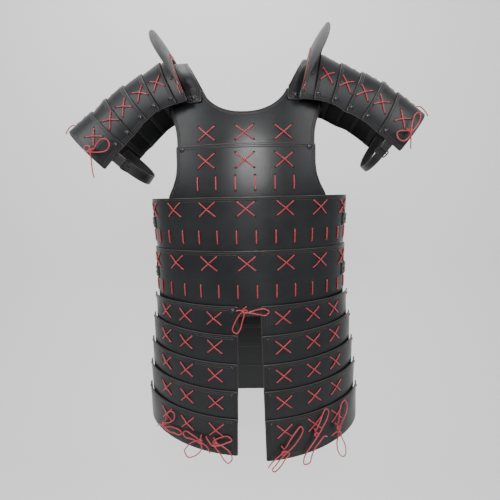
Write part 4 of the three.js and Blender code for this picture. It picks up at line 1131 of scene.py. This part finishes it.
def yoke_surface(sign):
    """The cross product of the slopes, turned outwards; the ends stand on top of the plates."""
    def surface(u, v, out):
        place, s = 2 * v - 1, u - 0.5
        step = 0.002
        slope_v = yoke_middle(sign, place + step, s) - yoke_middle(sign, place - step, s)
        slope_s = yoke_middle(sign, place, s + step) - yoke_middle(sign, place, s - step)
        normal = unit(np.cross(slope_v, slope_s)) * -sign
        rest = (WALL + YOKE["gap"]) * np.sin(np.minimum(np.abs(place) / YOKE["edge"], 1) * np.pi / 2)
        return yoke_middle(sign, place, s) + normal * (rest + out)[..., None]
    return surface


for side, sign in SIGNS.items():
    surface = yoke_surface(sign)
    name = f"shoulder_strap_{side}"
    leather_shell(name, surface, YOKE["width"], 268.0, corner=6.0)
    rivets(name, lambda u, v, out: surface(u, v, WALL + out), [[0.5, 0.022], [0.5, 0.978]], 4.2)
print("shoulder straps done")

# %% Side straps and buckles
def rounded_loop(half_length, half_width, radius, count=48):
    """A rectangle with round corners as one closed line, by pushing a circle out to its corners."""
    t = np.arange(count) * 2 * np.pi / count
    flat = lambda c, half: np.sign(c) * (half - radius) * np.minimum(1, np.abs(c) * 6)
    return np.stack([flat(np.cos(t), half_length) + radius * np.cos(t),
                     flat(np.sin(t), half_width) + radius * np.sin(t), np.zeros(count)], -1)


def closed_tube(line, radius, sides=10):
    """A tube along a closed flat line: the ring's two directions are the outward one and the axis."""
    axis = np.array([0, 0, 1.0])
    side = np.cross(unit(np.roll(line, -1, 0) - np.roll(line, 1, 0)), axis)
    turns = np.arange(sides) * 2 * np.pi / sides
    ring = side[:, None] * np.cos(turns)[:, None] + axis * np.sin(turns)[:, None]
    points = line[:, None] + radius * ring
    index = np.arange(len(line) * sides).reshape(len(line), sides)
    ahead_of, nxt = np.roll(index, -1, 0), np.roll(index, -1, 1)
    quads = np.stack([index, nxt, np.roll(ahead_of, -1, 1), ahead_of], -1).reshape(-1, 4)
    return points.reshape(-1, 3), [quads]


def buckle(name, middle, further_out, along, half_length, half_width, wire):
    """A rounded wire frame, a roller, a prong and a bar, turned into place by three directions."""
    def cross_bar(x, inset):
        y = np.linspace(-half_width + inset, half_width - inset, 12)
        return np.stack([np.full(12, x), y, np.zeros(12)], -1)

    s = np.linspace(0, 1, 14)
    bar_x = -half_length * 0.2
    prong_rise = wire * (0.6 + 0.9 * np.sin(np.pi * s ** 1.5))
    prong = np.stack([bar_x + half_length * 1.25 * s, 0 * s, prong_rise], -1)
    parts = [closed_tube(rounded_loop(half_length, half_width, 4.0), wire)]
    for line, radius in ((cross_bar(half_length, 3), wire * 1.35), (prong, wire * 0.8),
                         (cross_bar(bar_x, 1), wire * 0.8)):
        parts.append(tubes(line[None], radius, 10)[:2])
    outward, along = unit(further_out - middle), unit(along)
    along = unit(along - outward * np.dot(along, outward))
    basis = np.stack([along, np.cross(outward, along), outward])
    points = np.concatenate([p for p, _ in parts]) @ basis + middle
    offsets = np.cumsum([0] + [len(p) for p, _ in parts[:-1]])
    faces = [f + shift for (_, group), shift in zip(parts, offsets) for f in group]
    return new_piece(name, points, faces, dark_metal)


SIDE_STRAP = {"first": math.radians(71), "last": math.radians(126), "width": 22.0,
              "buckle": math.radians(113), "rivet": math.radians(74.5)}
SLOT = {"before": 0.012, "half": 13.0, "radius": 1.1}
for level, z in (("upper", -329.5), ("lower", -435.0)):
    band = bands[level]
    lift = top_lift(band["top"] - band["bottom"], OVERLAP, band["gap"])
    for side, sign in SIGNS.items():
        first, last = SIDE_STRAP["first"], SIDE_STRAP["last"]

        def strap_face(angle, level_z, out, band=band, lift=lift):
            """The outer face of the band at this height, with the strap's small clearance."""
            v = (band["top"] - level_z) / (band["top"] - band["bottom"])
            return torso_point(angle, level_z, lift * (1 - v) + WALL + STRAP_GAP + out)

        def surface(u, v, out):
            return strap_face(sign * (first + (last - first) * u), z + SIDE_STRAP["width"] * (0.5 - v), out)

        name = f"side_strap_{level}_{side}"
        leather_shell(name, surface, strip_width(first, last, z), SIDE_STRAP["width"],
                      strap_leather, STRAP_WALL, step=4.0, corner=8.0)
        u = np.linspace(0.03, 0.97, 200)
        for edge_name, v in (("top", 0.14), ("bottom", 0.86)):
            line = surface(u, np.full_like(u, v), STRAP_WALL)
            normal = unit(surface(u, np.full_like(u, v), STRAP_WALL + 1.0) - line)
            thread_row(f"{name}_thread_{edge_name}", line, normal)
        centre = sign * SIDE_STRAP["buckle"]
        along = strap_face(centre + 0.01 * sign, z, 0.0) - strap_face(centre - 0.01 * sign, z, 0.0)
        metal = buckle(f"side_buckle_{level}_{side}_frame", strap_face(centre, z, STRAP_WALL + 1.9),
                       strap_face(centre, z, 9.0), along, 10.5, 16.0, 1.5)
        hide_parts(f"side_buckle_{level}_{side}")
        rivets(name, lambda a, b, out: strap_face(a, b, out + STRAP_WALL),
               [[sign * SIDE_STRAP["rivet"], z]], 3.2)
        # A thin black tube where the strap passes into the band: the painted shadow of its slot.
        fall = z + SLOT["half"] * (1 - 2 * np.linspace(0, 1, 7)[None])
        slot_shadow_line = strap_face(np.full((1, 7), sign * (first - SLOT["before"])), fall, 0.0)
        tube_piece(name + "_slot_shadow", slot_shadow_line, SLOT["radius"], 8, painted_shadow_black)
print("side straps and buckles done")

# %% Arm straps
ARM_STRAP = {"first": 73, "last": 287, "along": 5.5, "width": 0.32, "hang": 0.55, "buckle": 0.17}


def arm_strap_surface(side):
    """Inside the guard it follows the arch; below the corners it hangs in a half ellipse."""
    def surface(u, v, out):
        angle = np.radians(ARM_STRAP["first"] + (ARM_STRAP["last"] - ARM_STRAP["first"]) * v)
        t = ARM_STRAP["along"] + (u - 0.5) * ARM_STRAP["width"]
        base_out = guard_lift(5.0, 6.0, t) - STRAP_GAP - STRAP_WALL + out
        folded = np.where(angle >= 1.5 * np.pi, angle - 2 * np.pi, angle)
        inside = guard_point(side, t, np.clip(folded, -np.pi / 2, np.pi / 2), base_out)
        inner = guard_point(side, t, np.full_like(t, np.pi / 2), base_out - out)
        ridge = guard_point(side, t, np.zeros_like(t), 0.0) * np.array([1, 0, 1])
        corner = inner * np.array([1, 0, 1])
        down = (corner - ridge) * (-ARM_STRAP["hang"] * np.cos(angle))[..., None]
        far = np.maximum(np.linalg.norm(down, axis=-1), 1e-6)
        hanging = corner + down * (1 + np.where(far > 1e-3, out / far, 0))[..., None]
        hanging[..., 1] = -(np.abs(inner[..., 1]) + out) * np.sin(angle)
        below = (angle > np.pi / 2) & (angle < 1.5 * np.pi)
        return np.where(below[..., None], hanging, inside)

    return surface


for side in SIGNS:
    surface = arm_strap_surface(side)
    leather_shell(f"arm_strap_{side}", surface, 16.0, 300.0, strap_leather,
                  STRAP_WALL, step=4.0, corner=3.0)
    spot = lambda v, out: surface(np.array([0.5]), np.array([v]), np.array([STRAP_WALL + out]))[0]
    at = ARM_STRAP["buckle"]
    buckle(f"arm_buckle_{side}", spot(at, 1.6), spot(at, 3.0), spot(at + 0.01, 0) - spot(at - 0.01, 0),
           9.0, 11.0, 1.3)
print("arm straps done")

# %% [markdown]
# The room: a pale floor that sweeps up into the wall, so that no corner line shows, one large soft
# light near the camera for the broad shine in the middle of the plates, and two lights from the
# sides that draw the edges.

# %% Floor and light
FLOOR_Z, BEND = -1.45, 0.8
bend_turn = np.linspace(0, np.pi / 2, 40)
sweep_y = np.concatenate([np.linspace(-2.6, 0.9, 20), 0.9 + BEND * np.sin(bend_turn), np.full(20, 1.7)])
sweep_z = np.concatenate([
    np.full(20, FLOOR_Z), FLOOR_Z + BEND * (1 - np.cos(bend_turn)), np.linspace(-0.6, 2.2, 20)])
sweep_x = np.linspace(-3.2, 3.2, 12)
grid_x, grid_y = np.meshgrid(sweep_x, sweep_y)
grid_z = np.meshgrid(sweep_x, sweep_z)[1]
room_points = np.stack([grid_x, grid_y, grid_z], -1).reshape(-1, 3)
room_quads = grid_faces(np.arange(len(room_points)).reshape(grid_x.shape))
room_mesh = bpy.data.meshes.new("floor")
room_mesh.from_pydata(room_points.tolist(), [], room_quads.tolist())
room_mesh.polygons.foreach_set("use_smooth", np.ones(len(room_quads), bool))
room = bpy.data.objects.new("floor", room_mesh)
bpy.context.scene.collection.objects.link(room)
room_mesh.materials.append(start_material("pale_wall", (0.80, 0.80, 0.79), 0.85)[0])


def soft_light(name, place, aim, size, power):
    """A square area light at a place, turned towards a point."""
    data = bpy.data.lights.new(name, "AREA")
    data.shape = "SQUARE"
    data.size = size
    data.energy = power
    lamp = bpy.data.objects.new(name, data)
    bpy.context.scene.collection.objects.link(lamp)
    lamp.location = place
    lamp.rotation_mode = "QUATERNION"
    lamp.rotation_quaternion = (Vector(aim) - Vector(place)).to_track_quat("-Z", "Y")


soft_light("front_light", (0.1, -2.1, 0.42), (0, 0, -0.35), 0.65, 44)
soft_light("left_light", (-2.0, -1.0, 0.9), (0, 0, -0.3), 1.5, 30)
soft_light("right_light", (2.0, -1.0, 0.9), (0, 0, -0.3), 1.5, 26)
soft_light("top_light", (-0.3, 0.3, 1.9), (-0.2, 0.5, -0.3), 1.8, 52)
world = bpy.data.worlds.new("studio")
world.use_nodes = True
background = world.node_tree.nodes["Background"]
background.inputs["Color"].default_value = (0.94, 0.96, 1.0, 1)
background.inputs["Strength"].default_value = 0.50
bpy.context.scene.world = world
print("room and lights are set")

# %% Sizes, and the table of pieces
print("flat cuts (width mm, length mm, area cm2):")
for name, cut in flat_cuts.items():
    print("  ", name, *cut)
